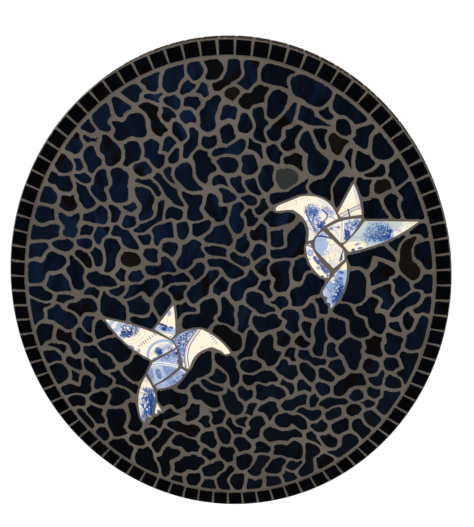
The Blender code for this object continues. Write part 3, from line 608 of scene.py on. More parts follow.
def bowed_sides(corners, chord):
    """Each side of a shard as points from its corner on: a parabola over the chord.

    Its rise is four times the bow times the share done times the share left.
    """
    sides = []
    for (x0, z0, bow), (x1, z1, _) in zip(corners, corners[1:] + corners[:1]):
        start, end = np.array((x0, z0)), np.array((x1, z1))
        length = math.dist(start, end)
        outward = np.array((z0 - z1, x1 - x0)) / length
        steps = max(2, round(length / chord)) if bow else 1
        share = (np.arange(steps) / steps)[:, None]
        sides.append(start + (end - start) * share + outward * 4 * bow * share * (1 - share))
    return sides


def bird_place(shards, drawn_tip, span, tip_share):
    """Scale and shift from drawn millimetres to metres on the panel."""
    across = [x for corners, _, _ in shards.values() for x, _, _ in corners]
    scale = span / (max(across) - min(across))
    tip = np.array(tip_share) * half_sizes(FIELD_INSET)
    return scale, tip - np.array(drawn_tip) * scale


def plan_birds():
    """Outline of each shard in metres by its full name."""
    outlines = {}
    for side, (shards, tip, span, share) in BIRDS.items():
        scale, shift = bird_place(shards, tip, span, share)
        for name, (corners, _, _) in shards.items():
            sides = bowed_sides(corners, BOW_CHORD / scale)
            outlines[side + name] = np.concatenate(sides) * scale + shift
    return outlines


def bird_tips(birds):
    """The four sharp ends of each bird, as points with the way they point."""
    tips = []
    for side in ("right_bird_", "left_bird_"):
        own = {name: outline for name, outline in birds.items() if name.startswith(side)}
        middle = np.concatenate(list(own.values())).mean(axis=0)
        for part in ("head", "back_wing", "wing", "tail"):
            outline = own[side + part]
            tip = outline[np.hypot(*(outline - middle).T).argmax()]
            way = tip - outline.mean(axis=0)
            tips.append((tip, way / np.hypot(*way)))
    return tips


def outline_distance(x, z, outline):
    """Distance from points to a closed outline, negative inside it."""
    ax, az = outline[:, 0], outline[:, 1]
    side_x, side_z = np.roll(ax, -1) - ax, np.roll(az, -1) - az
    from_x, from_z = x[..., None] - ax, z[..., None] - az
    share = np.clip((from_x * side_x + from_z * side_z) / (side_x ** 2 + side_z ** 2), 0, 1)
    distance = np.hypot(from_x - share * side_x, from_z - share * side_z).min(axis=-1)
    spans = (az > z[..., None]) != (az + side_z > z[..., None])
    slope = side_x / np.where(side_z == 0, 1e-12, side_z)
    crossings = np.sum(spans & (x[..., None] < ax + from_z * slope), axis=-1)
    return np.where(crossings % 2 == 1, -distance, distance)


def close_by(x, z, outline, reach):
    """Whether points lie inside the box round an outline, widened by a reach."""
    low, high = outline.min(axis=0) - reach, outline.max(axis=0) + reach
    return (x > low[0]) & (x < high[0]) & (z > low[1]) & (z < high[1])


def oval_depth(x, z, inset):
    """How far points lie inside an oval: one minus its level, over the level's slope."""
    half_width, half_height = half_sizes(inset)
    level = np.maximum(np.hypot(x / half_width, z / half_height), 1e-6)
    slope = np.hypot(x / half_width ** 2, z / half_height ** 2) / level
    return (1 - level) / np.maximum(slope, 1e-6)


def make_drift(rng):
    """A gentle bend of the plane: the sum of five sine waves in random directions."""
    waves = []
    for _ in range(DRIFT_COUNT):
        heading, phase, push = rng.uniform(0, 2 * math.pi, 3)
        waves.append((2 * math.pi / (DRIFT_WAVE * rng.uniform(*UNEVENNESS)), heading, phase, push))
    reach = DRIFT_REACH * math.sqrt(2 / DRIFT_COUNT)

    def drift(x, z):
        moved_x, moved_z = x, z
        for number, heading, phase, push in waves:
            wave = np.sin(number * (x * math.cos(heading) + z * math.sin(heading)) + phase)
            moved_x = moved_x + reach * wave * math.cos(push)
            moved_z = moved_z + reach * wave * math.sin(push)
        return moved_x, moved_z
    return drift


def soft_least(values, softness):
    """Smooth minimum: minus softness times the log of the summed exponentials."""
    total = sum(np.exp(-np.clip(value, -DEPTH_LIMIT, DEPTH_LIMIT) / softness) for value in values)
    return -softness * np.log(total)


class Field:
    """Plan of the irregular glass pieces: where they may lie, their seeds and their edges."""

    def __init__(self, shards, tips):
        self.rng = np.random.default_rng(FIELD_SEED)
        self.drift = make_drift(self.rng)
        self.shards = shards
        self.flanks = self.flanking_seeds(tips)
        self.seeds = self.sow()
        half_width, half_height = half_sizes(FIELD_INSET)
        across = np.arange(-half_width, half_width + GRID_STEP, GRID_STEP)
        up = np.arange(-half_height, half_height + GRID_STEP, GRID_STEP)
        self.grid_x, self.grid_z = np.meshgrid(across, up)
        self.inside = self.room(self.grid_x, self.grid_z) > 0
        for _ in range(SETTLE_ROUNDS):
            self.settle()
        self.owner = self.owners()
        self.edges, self.meetings = self.shared_edges()

    def room(self, x, z):
        """Free distance to the border band and to the birds, after the drift."""
        x, z = self.drift(x, z)
        free = oval_depth(x, z, FIELD_INSET) - FIELD_MARGIN
        for outline in self.shards:
            near = close_by(x, z, outline, SEED_PITCH)
            clear = outline_distance(x[near], z[near], outline) - BIRD_MARGIN
            free[near] = np.minimum(free[near], clear)
        return free

    def flanking_seeds(self, tips):
        """Two seeds beside each sharp tip, so that a joint and not a piece meets the tip."""
        seeds = []
        for tip, outward in tips:
            start = tip
            for _ in range(TIP_ROUNDS):
                start = start + tip - np.array(self.drift(start[0], start[1]))
            sideways = np.array((-outward[1], outward[0]))
            for side in (-1, 1):
                share = side * TIP_SIDE_SHARE * sideways - TIP_BACK_SHARE * outward
                seeds.append(start + share * SEED_PITCH)
        return np.array(seeds)

    def sow(self):
        """Seeds on staggered rows, each shaken, kept where there is room."""
        half_width, half_height = half_sizes(FIELD_INSET)
        rows = []
        heights = np.arange(-half_height - SEED_PITCH, half_height + SEED_PITCH,
                            SEED_PITCH * math.sqrt(3) / 2)
        for number, height in enumerate(heights):
            across = np.arange(-half_width - SEED_PITCH, half_width + SEED_PITCH, SEED_PITCH)
            across = across + (number % 2) * SEED_PITCH / 2
            rows.append(np.column_stack((across, np.full_like(across, height))))
        seeds = np.concatenate(rows)
        shake = self.rng.uniform(-SEED_JITTER_SHARE, SEED_JITTER_SHARE, seeds.shape)
        seeds = seeds + shake * SEED_PITCH
        away = np.hypot(*(seeds[:, None] - self.flanks).transpose(2, 0, 1)).min(axis=1)
        kept = (self.room(seeds[:, 0], seeds[:, 1]) > SEED_ROOM) & (away > FLANK_SHARE * SEED_PITCH)
        return np.concatenate((self.flanks, seeds[kept]))

    def owners(self):
        """Number of the nearest seed at each grid point, or -1 where no glass may lie."""
        across = self.grid_x[..., None] - self.seeds[:, 0]
        up = self.grid_z[..., None] - self.seeds[:, 1]
        return np.where(self.inside, (across ** 2 + up ** 2).argmin(axis=-1), -1)

    def settle(self):
        """Moves each seed to the middle of the ground that is nearest to it."""
        owner = self.owners()[self.inside]
        count = len(self.seeds)
        size = np.bincount(owner, minlength=count)
        middle = [np.bincount(owner, grid[self.inside], count) / np.maximum(size, 1)
                  for grid in (self.grid_x, self.grid_z)]
        fixed = len(self.flanks)
        moved = np.column_stack(middle)[fixed:][size[fixed:] > LEAST_MEETINGS]
        self.seeds = np.concatenate((self.flanks, moved))

    def shared_edges(self):
        """For each two neighbours: the middle, direction and reach of their edge, and its bend."""
        owner = self.owner
        meetings = {}
        for first, second, x, z in (
                (owner[:, :-1], owner[:, 1:], self.grid_x[:, :-1], self.grid_z[:, :-1]),
                (owner[:-1], owner[1:], self.grid_x[:-1], self.grid_z[:-1])):
            met = (first != second) & (first >= 0) & (second >= 0)
            for i, j, px, pz in zip(first[met], second[met], x[met], z[met]):
                spot = (px + GRID_STEP / 2, pz + GRID_STEP / 2)
                meetings.setdefault((min(i, j), max(i, j)), []).append(spot)
        edges = {}
        for pair in sorted(meetings):
            spots = np.array(meetings[pair])
            middle = spots.mean(axis=0)
            between = self.seeds[pair[1]] - self.seeds[pair[0]]
            along = np.array((-between[1], between[0])) / np.hypot(*between)
            reach = max(np.ptp((spots - middle) @ along) / 2, LEAST_REACH)
            bow = self.rng.uniform(-1, 1) * EDGE_BOW_SHARE * reach
            swing = self.rng.uniform(-1, 1) * EDGE_SWING_SHARE * reach
            joint = PIECE_JOINT * self.rng.uniform(*UNEVENNESS)
            if self.flank_a_tip(pair):
                bow = swing = 0
            edges[pair] = (middle, along, reach, bow, swing, joint)
        return edges, meetings

    def flank_a_tip(self, pair):
        """Whether two seeds are the two beside one tip."""
        return max(pair) < len(self.flanks) and pair[0] // 2 == pair[1] // 2

    def groups(self):
        """Pieces as seed numbers: some seeds are joined in twos, which makes long pieces."""
        pairs = [pair for pair, spots in self.meetings.items()
                 if len(spots) >= LEAST_MEETINGS and not self.flank_a_tip(pair)]
        count = len(self.seeds)
        wanted = int(count * PAIR_SHARE / (1 + PAIR_SHARE))
        taken, joined = set(), []
        for number in self.rng.permutation(len(pairs)):
            i, j = pairs[number]
            if len(joined) < wanted and i not in taken and j not in taken:
                taken.update((i, j))
                joined.append((i, j))
        return joined + [(i,) for i in range(count) if i not in taken]

    def cell_depth(self, seed, group, x, z):
        """How far points lie inside a seed's cell, whose edges bow and swing as drawn."""
        away = np.hypot(*(self.seeds - self.seeds[seed]).T)
        own = (x - self.seeds[seed, 0]) ** 2 + (z - self.seeds[seed, 1]) ** 2
        depths = []
        for other in np.argsort(away)[1:NEIGHBOURS + 1]:
            if other in group:
                continue
            theirs = (x - self.seeds[other, 0]) ** 2 + (z - self.seeds[other, 1]) ** 2
            depth = (theirs - own) / (2 * away[other])
            edge = self.edges.get((min(seed, other), max(seed, other)))
            joint = PIECE_JOINT
            if edge:
                middle, along, reach, bow, swing, joint = edge
                place = (x - middle[0]) * along[0] + (z - middle[1]) * along[1]
                place = np.clip(place / reach, -1, 1)
                bend = bow * np.cos(math.pi * place / 2) + swing * np.sin(math.pi * place)
                depth = depth + (bend if seed < other else -bend)
            depths.append(depth - joint / 2)
        return soft_least(depths, SOFTNESS)

    def middle(self, group):
        """Where the two halves of a joined piece meet, or the deepest place of a single one."""
        if len(group) == 2:
            return np.mean(self.meetings[group], axis=0)
        own = self.owner == group[0]
        x, z = self.grid_x[own], self.grid_z[own]
        depth = np.minimum(self.cell_depth(group[0], group, x, z), self.room(x, z))
        deepest = depth.argmax()
        return np.array((x[deepest], z[deepest]))

    def outline(self, group):
        """Outline and middle of a piece: rays from its middle end where its depth does.

        A ray reaches at most a share further than the rays two places beside it, and a
        joined piece whose neck would be too narrow has no outline.
        """
        middle = self.middle(group)
        angle = np.arange(PIECE_RAYS) * 2 * math.pi / PIECE_RAYS
        run = np.arange(0, 2 * SEED_PITCH, RAY_STEP)
        x = middle[0] + run[:, None] * np.cos(angle)
        z = middle[1] + run[:, None] * np.sin(angle)
        cells = [self.cell_depth(seed, group, x, z) for seed in group]
        depth = cells[0] if len(cells) == 1 else -soft_least([-cell for cell in cells], SOFTNESS)
        depth = soft_least((depth, self.room(x, z)), SOFTNESS)
        if depth[0, 0] <= (LEAST_NECK if len(group) == 2 else 0):
            return None, None
        depth[-1] = np.minimum(depth[-1], -1e-6)
        end = (depth < 0).argmax(axis=0)
        ray = np.arange(PIECE_RAYS)
        last, first = depth[end - 1, ray], depth[end, ray]
        length = run[end - 1] + RAY_STEP * last / (last - first)
        beside = np.maximum(np.roll(length, 2), np.roll(length, -2))
        length = np.minimum(length, SPIKE_SHARE * beside)
        x, z = self.drift(middle[0] + length * np.cos(angle), middle[1] + length * np.sin(angle))
        return even_rounded(np.column_stack((x, z))), np.array(self.drift(*middle))

    def pieces(self):
        """Outlines and middles of all pieces; a joined piece that fails is tried as halves."""
        waiting = self.groups()
        outlines, middles = [], []
        while waiting:
            group = waiting.pop(0)
            outline, middle = self.outline(group)
            if outline is None:
                waiting.extend([(seed,) for seed in group] if len(group) == 2 else [])
            elif outline_area(outline) > LEAST_PIECE_AREA:
                outlines.append(outline)
                middles.append(middle)
        return np.array(outlines), np.array(middles)


def even_rounded(points):
    """The outline at even steps, averaged along its length with a bell of the rounding."""
    count = len(points)
    step = np.hypot(*(np.roll(points, -1, axis=0) - points).T)
    run = np.concatenate(([0.0], np.cumsum(step)))
    closed = np.vstack((points, points[:1]))
    place = np.arange(count) * run[-1] / count
    away = np.minimum(place, run[-1] - place)
    bell = np.exp(-0.5 * (away / CORNER_ROUNDING) ** 2)
    spectrum = np.fft.fft(bell / bell.sum())
    rounded = []
    for k in (0, 1):
        even = np.interp(place, run, closed[:, k])
        rounded.append(np.fft.ifft(np.fft.fft(even) * spectrum).real)
    return np.column_stack(rounded)


def outline_area(points):
    """Area inside a closed outline, by the shoelace rule."""
    after = np.roll(points, -1, axis=0)
    return 0.5 * abs(np.sum(points[:, 0] * after[:, 1] - points[:, 1] * after[:, 0]))


def value_noise(x, z, size, seed):
    """Smooth random field from 0 to 1: random heights a size apart, eased between them.

    The ease is three times the share squared less two times its cube.
    """
    table = np.random.default_rng(seed).random((NOISE_TABLE, NOISE_TABLE))
    across, up = x / size, z / size
    i, j = np.floor(across).astype(int), np.floor(up).astype(int)
    u, v = across - i, up - j
    u, v = u * u * (3 - 2 * u), v * v * (3 - 2 * v)
    i, j = i % NOISE_TABLE, j % NOISE_TABLE
    next_i, next_j = (i + 1) % NOISE_TABLE, (j + 1) % NOISE_TABLE
    low = table[i, j] * (1 - u) + table[next_i, j] * u
    high = table[i, next_j] * (1 - u) + table[next_i, next_j] * u
    return low * (1 - v) + high * v


def facing(plan, level):
    """Points in space from their plan, across and up, and their level before the back."""
    level = np.broadcast_to(level, plan.shape[:-1])
    return np.stack((plan[..., 0], -level, plan[..., 1]), axis=-1)


def lofted(rings, back, front):
    """Closed forms from rings of points that run anticlockwise seen from their front.

    rings holds for each form its rings from back to front. Quads join each ring to the next,
    and triangles join the first and the last ring to the form's two poles.
    """
    forms, levels, sides = rings.shape[:3]
    each = levels * sides + 2
    points = np.concatenate((rings.reshape(forms, -1, 3), back[:, None], front[:, None]), axis=1)
    level, side = np.meshgrid(np.arange(levels - 1), np.arange(sides), indexing="ij")
    here, after = level * sides + side, level * sides + (side + 1) % sides
    quads = np.stack((here, after, after + sides, here + sides), axis=-1).reshape(-1, 4)
    side = np.arange(sides)
    after = (side + 1) % sides
    last = (levels - 1) * sides
    fans = np.concatenate((np.column_stack((after, side, np.full(sides, each - 2))),
                           np.column_stack((last + side, last + after, np.full(sides, each - 1)))))
    shift = (np.arange(forms) * each)[:, None, None]
    return points.reshape(-1, 3), (quads + shift).reshape(-1, 4), (fans + shift).reshape(-1, 3)


def swept(profile, relief):
    """A closed profile of insets and levels carried round the panel's oval.

    The level of each point is raised by a smooth random field times the relief.
    """
    around = np.stack([oval_points(inset, OVAL_SIDES) for inset, _ in profile])
    level = np.array([level for _, level in profile])[:, None]
    bump = relief * (value_noise(around[..., 0], around[..., 1], *BORDER_CLOUDS) - 0.5)
    points = facing(around, level + bump).reshape(-1, 3)
    row, spot = np.meshgrid(np.arange(len(profile)), np.arange(OVAL_SIDES), indexing="ij")
    row = row * OVAL_SIDES
    next_row, next_spot = (row + OVAL_SIDES) % (len(profile) * OVAL_SIDES), (spot + 1) % OVAL_SIDES
    quads = np.stack((row + spot, row + next_spot, next_row + next_spot, next_row + spot), axis=-1)
    return points, quads.reshape(-1, 4), np.zeros((0, 3), int)


def rounded_square(side, corner, steps):
    """Outline of a square with round corners: a quarter turn about each corner's centre."""
    turn = np.arange(steps + 1) / steps * math.pi / 2
    arcs = []
    for quarter in range(4):
        angle = turn + quarter * math.pi / 2
        middle = quarter * math.pi / 2 + math.pi / 4
        centre = (side / 2 - corner) * math.sqrt(2) * np.array((math.cos(middle), math.sin(middle)))
        arcs.append(centre + corner * np.column_stack((np.cos(angle), np.sin(angle))))
    return np.concatenate(arcs)


def make_piece(name, nodes, form, material):
    """A mesh object from points, quads and triangles, which stands for its CAD nodes."""
    points, quads, triangles = form
    mesh = bpy.data.meshes.new(name)
    mesh.vertices.add(len(points))
    mesh.vertices.foreach_set("co", points.astype(np.float32).ravel())
    corners = np.concatenate((quads.ravel(), triangles.ravel())).astype(np.int32)
    starts = np.concatenate((np.arange(len(quads)) * 4, len(quads) * 4 + np.arange(len(triangles)) * 3))
    mesh.loops.add(len(corners))
    mesh.loops.foreach_set("vertex_index", corners)
    mesh.polygons.add(len(starts))
    mesh.polygons.foreach_set("loop_start", starts.astype(np.int32))
    mesh.polygons.foreach_set("use_smooth", np.ones(len(starts), bool))
    mesh.update(calc_edges=True)
    if mesh.validate():
        raise RuntimeError(name + " has faces that aren't valid")
    mesh.materials.append(material)
    piece = bpy.data.objects.new(name, mesh)
    bpy.context.scene.collection.objects.link(piece)
    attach(piece, "root")
    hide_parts(*nodes)
    return piece


def mark_points(piece, name, kind, values):
    """An attribute with one value for each point of a piece."""
    layer = piece.data.attributes.new(name, kind, "POINT")
    field = {"FLOAT": "value", "FLOAT_COLOR": "color", "FLOAT_VECTOR": "vector"}[kind]
    layer.data.foreach_set(field, values.astype(np.float32).ravel())


def add_node(tree, kind, inputs, **settings):
    """A node with its settings; inputs pairs a socket with a value or with what feeds it."""
    node = tree.nodes.new(kind)
    for key, value in settings.items():
        setattr(node, key, value)
    for key, value in inputs.items():
        if isinstance(value, bpy.types.NodeSocket):
            tree.links.new(value, node.inputs[key])
        else:
            node.inputs[key].default_value = value
    return node


def mixed(tree, share, first, second, blend="MIX"):
    """A colour between two, by a share."""
    node = add_node(tree, "ShaderNodeMix", {0: share, 6: first, 7: second},
                 data_type="RGBA", blend_type=blend)
    return node.outputs[2]


def ranged(tree, value, low, high, to_low=0.0, to_high=1.0):
    """A value carried from one range to another and held inside it."""
    node = add_node(tree, "ShaderNodeMapRange", {0: value, 1: low, 2: high, 3: to_low, 4: to_high})
    return node.outputs[0]


def stretched(tree, vector, scale):
    """Coordinates times a scale in each direction."""
    node = add_node(tree, "ShaderNodeMapping", {0: vector, 3: scale})
    return node.outputs[0]


def noise(tree, vector, scale, detail=2.0):
    """Smooth noise from 0 to 1 about one half."""
    node = add_node(tree, "ShaderNodeTexNoise", {"Vector": vector, "Scale": scale, "Detail": detail})
    return node.outputs[0]


def roughness(tree, vector, scale, low, high):
    """Roughness that wanders between two values with noise of a scale."""
    return ranged(tree, noise(tree, vector, scale), 0.3, 0.7, low, high)


def rgba(colour):
    """A colour as the four numbers that a socket holds."""
    return (*colour, 1.0)


def computed(tree, operation, *values):
    """One operation on one or two values."""
    node = add_node(tree, "ShaderNodeMath", dict(enumerate(values)), operation=operation)
    return node.outputs[0]


def attribute(tree, name):
    """The outputs for one of the attributes that the mesh carries."""
    return add_node(tree, "ShaderNodeAttribute", {}, attribute_name=name).outputs


def effect(tree, name, output, inputs, build):
    """What a node group gives: output is a name and kind, inputs a kind and value by name.

    The group is built when it is first used, and build makes its inner nodes.
    """
    group = bpy.data.node_groups.get(name)
    if group is None:
        group = bpy.data.node_groups.new(name, "ShaderNodeTree")
        for label, (kind, _) in inputs.items():
            group.interface.new_socket(label, in_out="INPUT", socket_type=kind)
        group.interface.new_socket(output[0], in_out="OUTPUT", socket_type=output[1])
        entry = group.nodes.new("NodeGroupInput")
        end = group.nodes.new("NodeGroupOutput")
        group.links.new(build(group, entry.outputs), end.inputs[0])
    values = {label: value for label, (_, value) in inputs.items()}
    return add_node(tree, "ShaderNodeGroup", values, node_tree=group).outputs[0]


def fine_relief(tree, vector, scale, height):
    """Normal of a fine grained surface: noise of a scale and height in metres."""
    def build(group, given):
        grain = noise(group, given["Vector"], given["Scale"], 3.0)
        inputs = {"Strength": 1.0, "Distance": given["Height"], "Height": grain}
        return add_node(group, "ShaderNodeBump", inputs).outputs[0]
    inputs = {"Vector": (VECTOR, vector), "Scale": (NUMBER, scale), "Height": (NUMBER, height)}
    return effect(tree, "fine_relief", ("Normal", VECTOR), inputs, build)


def mottle(tree, vector, scale, light, dark, spread):
    """Colour that wanders between two: noise of a scale, the wider spread the softer."""
    def build(group, given):
        cloud = noise(group, given["Vector"], given["Scale"], 4.0)
        low = computed(group, "SUBTRACT", 0.5, given["Spread"])
        high = computed(group, "ADD", 0.5, given["Spread"])
        return mixed(group, ranged(group, cloud, low, high), given["Dark"], given["Light"])
    inputs = {"Vector": (VECTOR, vector), "Scale": (NUMBER, scale), "Light": (COLOUR, light),
              "Dark": (COLOUR, dark), "Spread": (NUMBER, spread)}
    return effect(tree, "mottle", ("Color", COLOUR), inputs, build)


def streak_mask(tree, vector, width, length):
    """Mask of soft upright streaks: noise drawn out upwards, a broad and a fine one."""
    def build(group, given):
        broad = ranged(group, noise(group, given["Broad"], 1.0, 1.0), *STREAK_SPAN)
        fine = ranged(group, noise(group, given["Fine"], 1.0, 2.0), *FINE_STREAK_SPAN)
        return computed(group, "MULTIPLY", broad, fine)
    broad = stretched(tree, vector, (1 / width, 1 / width, 1 / length))
    fine = stretched(tree, vector, (4 / width, 4 / width, 1.5 / length))
    inputs = {"Broad": (VECTOR, broad), "Fine": (VECTOR, fine)}
    return effect(tree, "streak_mask", ("Mask", NUMBER), inputs, build)


def new_finish(name, **sockets):
    """A material with its tree, its shader and the object's own coordinates."""
    material = bpy.data.materials.new(name)
    material.use_nodes = True
    tree = material.node_tree
    shader = tree.nodes["Principled BSDF"]
    for key, value in sockets.items():
        shader.inputs[key.replace("_", " ")].default_value = value
    coordinates = add_node(tree, "ShaderNodeTexCoord", {}).outputs["Object"]
    return material, tree, shader, coordinates


def feed(tree, shader, **outputs):
    """Links colours, values and normals to the shader's sockets."""
    for key, output in outputs.items():
        tree.links.new(output, shader.inputs[key.replace("_", " ")])


def finish_of(name, build, *given):
    """A material that is built when it is first asked for."""
    return bpy.data.materials.get(name) or build(*given)


def glass_finish(name, streak, smoke, width, length, rough):
    """Streaky glass: a tint for each piece (on the edge tiles a brown painted reflection), soft streaks
    and smoky places at a slant of its own.

    The face waves a little, and the broken rim is uneven, so that it glints; pale patches on the rim are
    partly the lighter broken edge and partly painted glints.
    """
    material, tree, shader, here = new_finish(name, Specular_IOR_Level=0.4)
    mark = attribute(tree, "glass_mark")["Vector"]
    # Tint of each piece; on the edge tiles it is a brown painted reflection
    tint = attribute(tree, "glass_tint_and_painted_reflection")
    rim = attribute(tree, "glass_rim")["Fac"]
    turn = add_node(tree, "ShaderNodeSeparateXYZ", {0: mark}).outputs[1]
    turn = ranged(tree, turn, 0.0, MARK_REACH, -SLANT, SLANT)
    own = add_node(tree, "ShaderNodeVectorMath", {0: here, 1: mark}, operation="ADD").outputs[0]
    own = add_node(tree, "ShaderNodeVectorRotate", {"Vector": own, "Angle": turn},
                rotation_type="Y_AXIS").outputs[0]
    share = computed(tree, "MULTIPLY", streak_mask(tree, own, width, length), tint["Alpha"])
    body = mixed(tree, share, tint["Color"], rgba(streak))
    smoky = ranged(tree, noise(tree, stretched(tree, own, SMOKE_STRETCH), 1.0, 1.0), *SMOKE_SPAN)
    body = mixed(tree, smoky, body, rgba(smoke))
    # Pale patches over the rim: partly the lighter broken edge, partly painted glints
    chip_and_glint = computed(tree, "MULTIPLY", ranged(tree, noise(tree, own, CHIP_AND_GLINT_SCALE), *CHIP_AND_GLINT_SPAN), rim)
    unevenness = ranged(tree, rim, 0.0, 1.0, FACE_RELIEF, RIM_RELIEF)
    feed(tree, shader, Base_Color=mixed(tree, chip_and_glint, body, CHIP_AND_GLINT_COLOUR),
         Roughness=roughness(tree, own, scale=60.0, low=rough, high=rough + ROUGHNESS_RANGE),
         Normal=fine_relief(tree, own, scale=420.0, height=unevenness))
    return material


def grout_finish(colours):
    """Cement grout: sandy, a little cloudy, with darker damp-looking patches."""
    material, tree, shader, here = new_finish("grout_finish", Specular_IOR_Level=0.25)
    light, dark = rgba(colours.grout), rgba(colours.grout_dark)
    cloud = mottle(tree, here, scale=14.0, light=light, dark=dark, spread=0.16)
    sand = mottle(tree, here, scale=900.0, light=WHITE, dark=SAND, spread=0.3)
    feed(tree, shader, Base_Color=mixed(tree, 1.0, cloud, sand, "MULTIPLY"),
         Roughness=roughness(tree, here, scale=120.0, low=0.78, high=0.95),
         Normal=fine_relief(tree, here, scale=1100.0, height=0.00010))
    return material


def board_finish(colours):
    """Birch plywood: upright grain on the faces and thin darker plies through the edge."""
    material, tree, shader, here = new_finish("board_finish", Specular_IOR_Level=0.3)
    light, dark = rgba(colours.birch), rgba(colours.birch_dark)
    grain = stretched(tree, here, (60.0, 0.0, 5.0))
    grain = mottle(tree, grain, scale=1.0, light=light, dark=dark, spread=0.35)
    fleck = stretched(tree, here, (900.0, 0.0, 60.0))
    fleck = mottle(tree, fleck, scale=1.0, light=WHITE, dark=FLECK, spread=0.25)
    across = add_node(tree, "ShaderNodeSeparateXYZ", {0: here}).outputs[1]
    ply = computed(tree, "COSINE", computed(tree, "MULTIPLY", across, 2 * math.pi / PLY_PITCH))
    wood = mixed(tree, 1.0, grain, fleck, "MULTIPLY")
    feed(tree, shader, Base_Color=mixed(tree, ranged(tree, ply, -0.8, 0.2, 0.55, 0.0), wood, dark),
         Roughness=roughness(tree, here, scale=40.0, low=0.55, high=0.72),
         Normal=fine_relief(tree, stretched(tree, here, (1.0, 1.0, 0.12)), scale=700.0, height=0.00008))
    return material


def china_finish():
    """Glazed earthenware: the painted print under a glossy glaze, dull where it is broken."""
    material, tree, shader, here = new_finish("china_finish", Specular_IOR_Level=0.5)
    paint = attribute(tree, "print")
    glaze = mottle(tree, here, scale=160.0, light=WHITE, dark=GLAZE_SHADE, spread=0.2)
    feed(tree, shader, Base_Color=mixed(tree, 1.0, paint["Color"], glaze, "MULTIPLY"),
         Roughness=ranged(tree, paint["Alpha"], 0.0, 1.0, 0.75, 0.14),
         Normal=fine_relief(tree, here, scale=130.0, height=0.00004))
    return material


def from_screen(colour):
    """Linear light of a screen colour: the standard curve with its straight foot."""
    share = np.array(colour) / 255
    return np.where(share <= 0.04045, share / 12.92, ((share + 0.055) / 1.055) ** 2.4)


def ease(value):
    """Smooth step from 0 to 1."""
    value = np.clip(value, 0, 1)
    return value * value * (3 - 2 * value)


def soft(inside, width):
    """Cover across an edge of a width: one half on the edge, 1 inside and 0 outside."""
    return ease(inside / width + 0.5)


def curved(points):
    """A smooth line through points: cubic stretches whose slopes follow the points beside them."""
    line = np.array(points, float)
    if len(line) < 3:
        return line
    ends = np.vstack((2 * line[0] - line[1], line, 2 * line[-1] - line[-2]))
    share = (np.arange(CURVE_STEPS) / CURVE_STEPS)[:, None]
    stretches = []
    for before, start, end, after in zip(ends, ends[1:], ends[2:], ends[3:]):
        square = (2 * before - 5 * start + 4 * end - after) * share ** 2
        cube = (3 * start - before - 3 * end + after) * share ** 3
        stretches.append(start + 0.5 * ((end - before) * share + square + cube))
    return np.vstack((*stretches, line[-1:]))


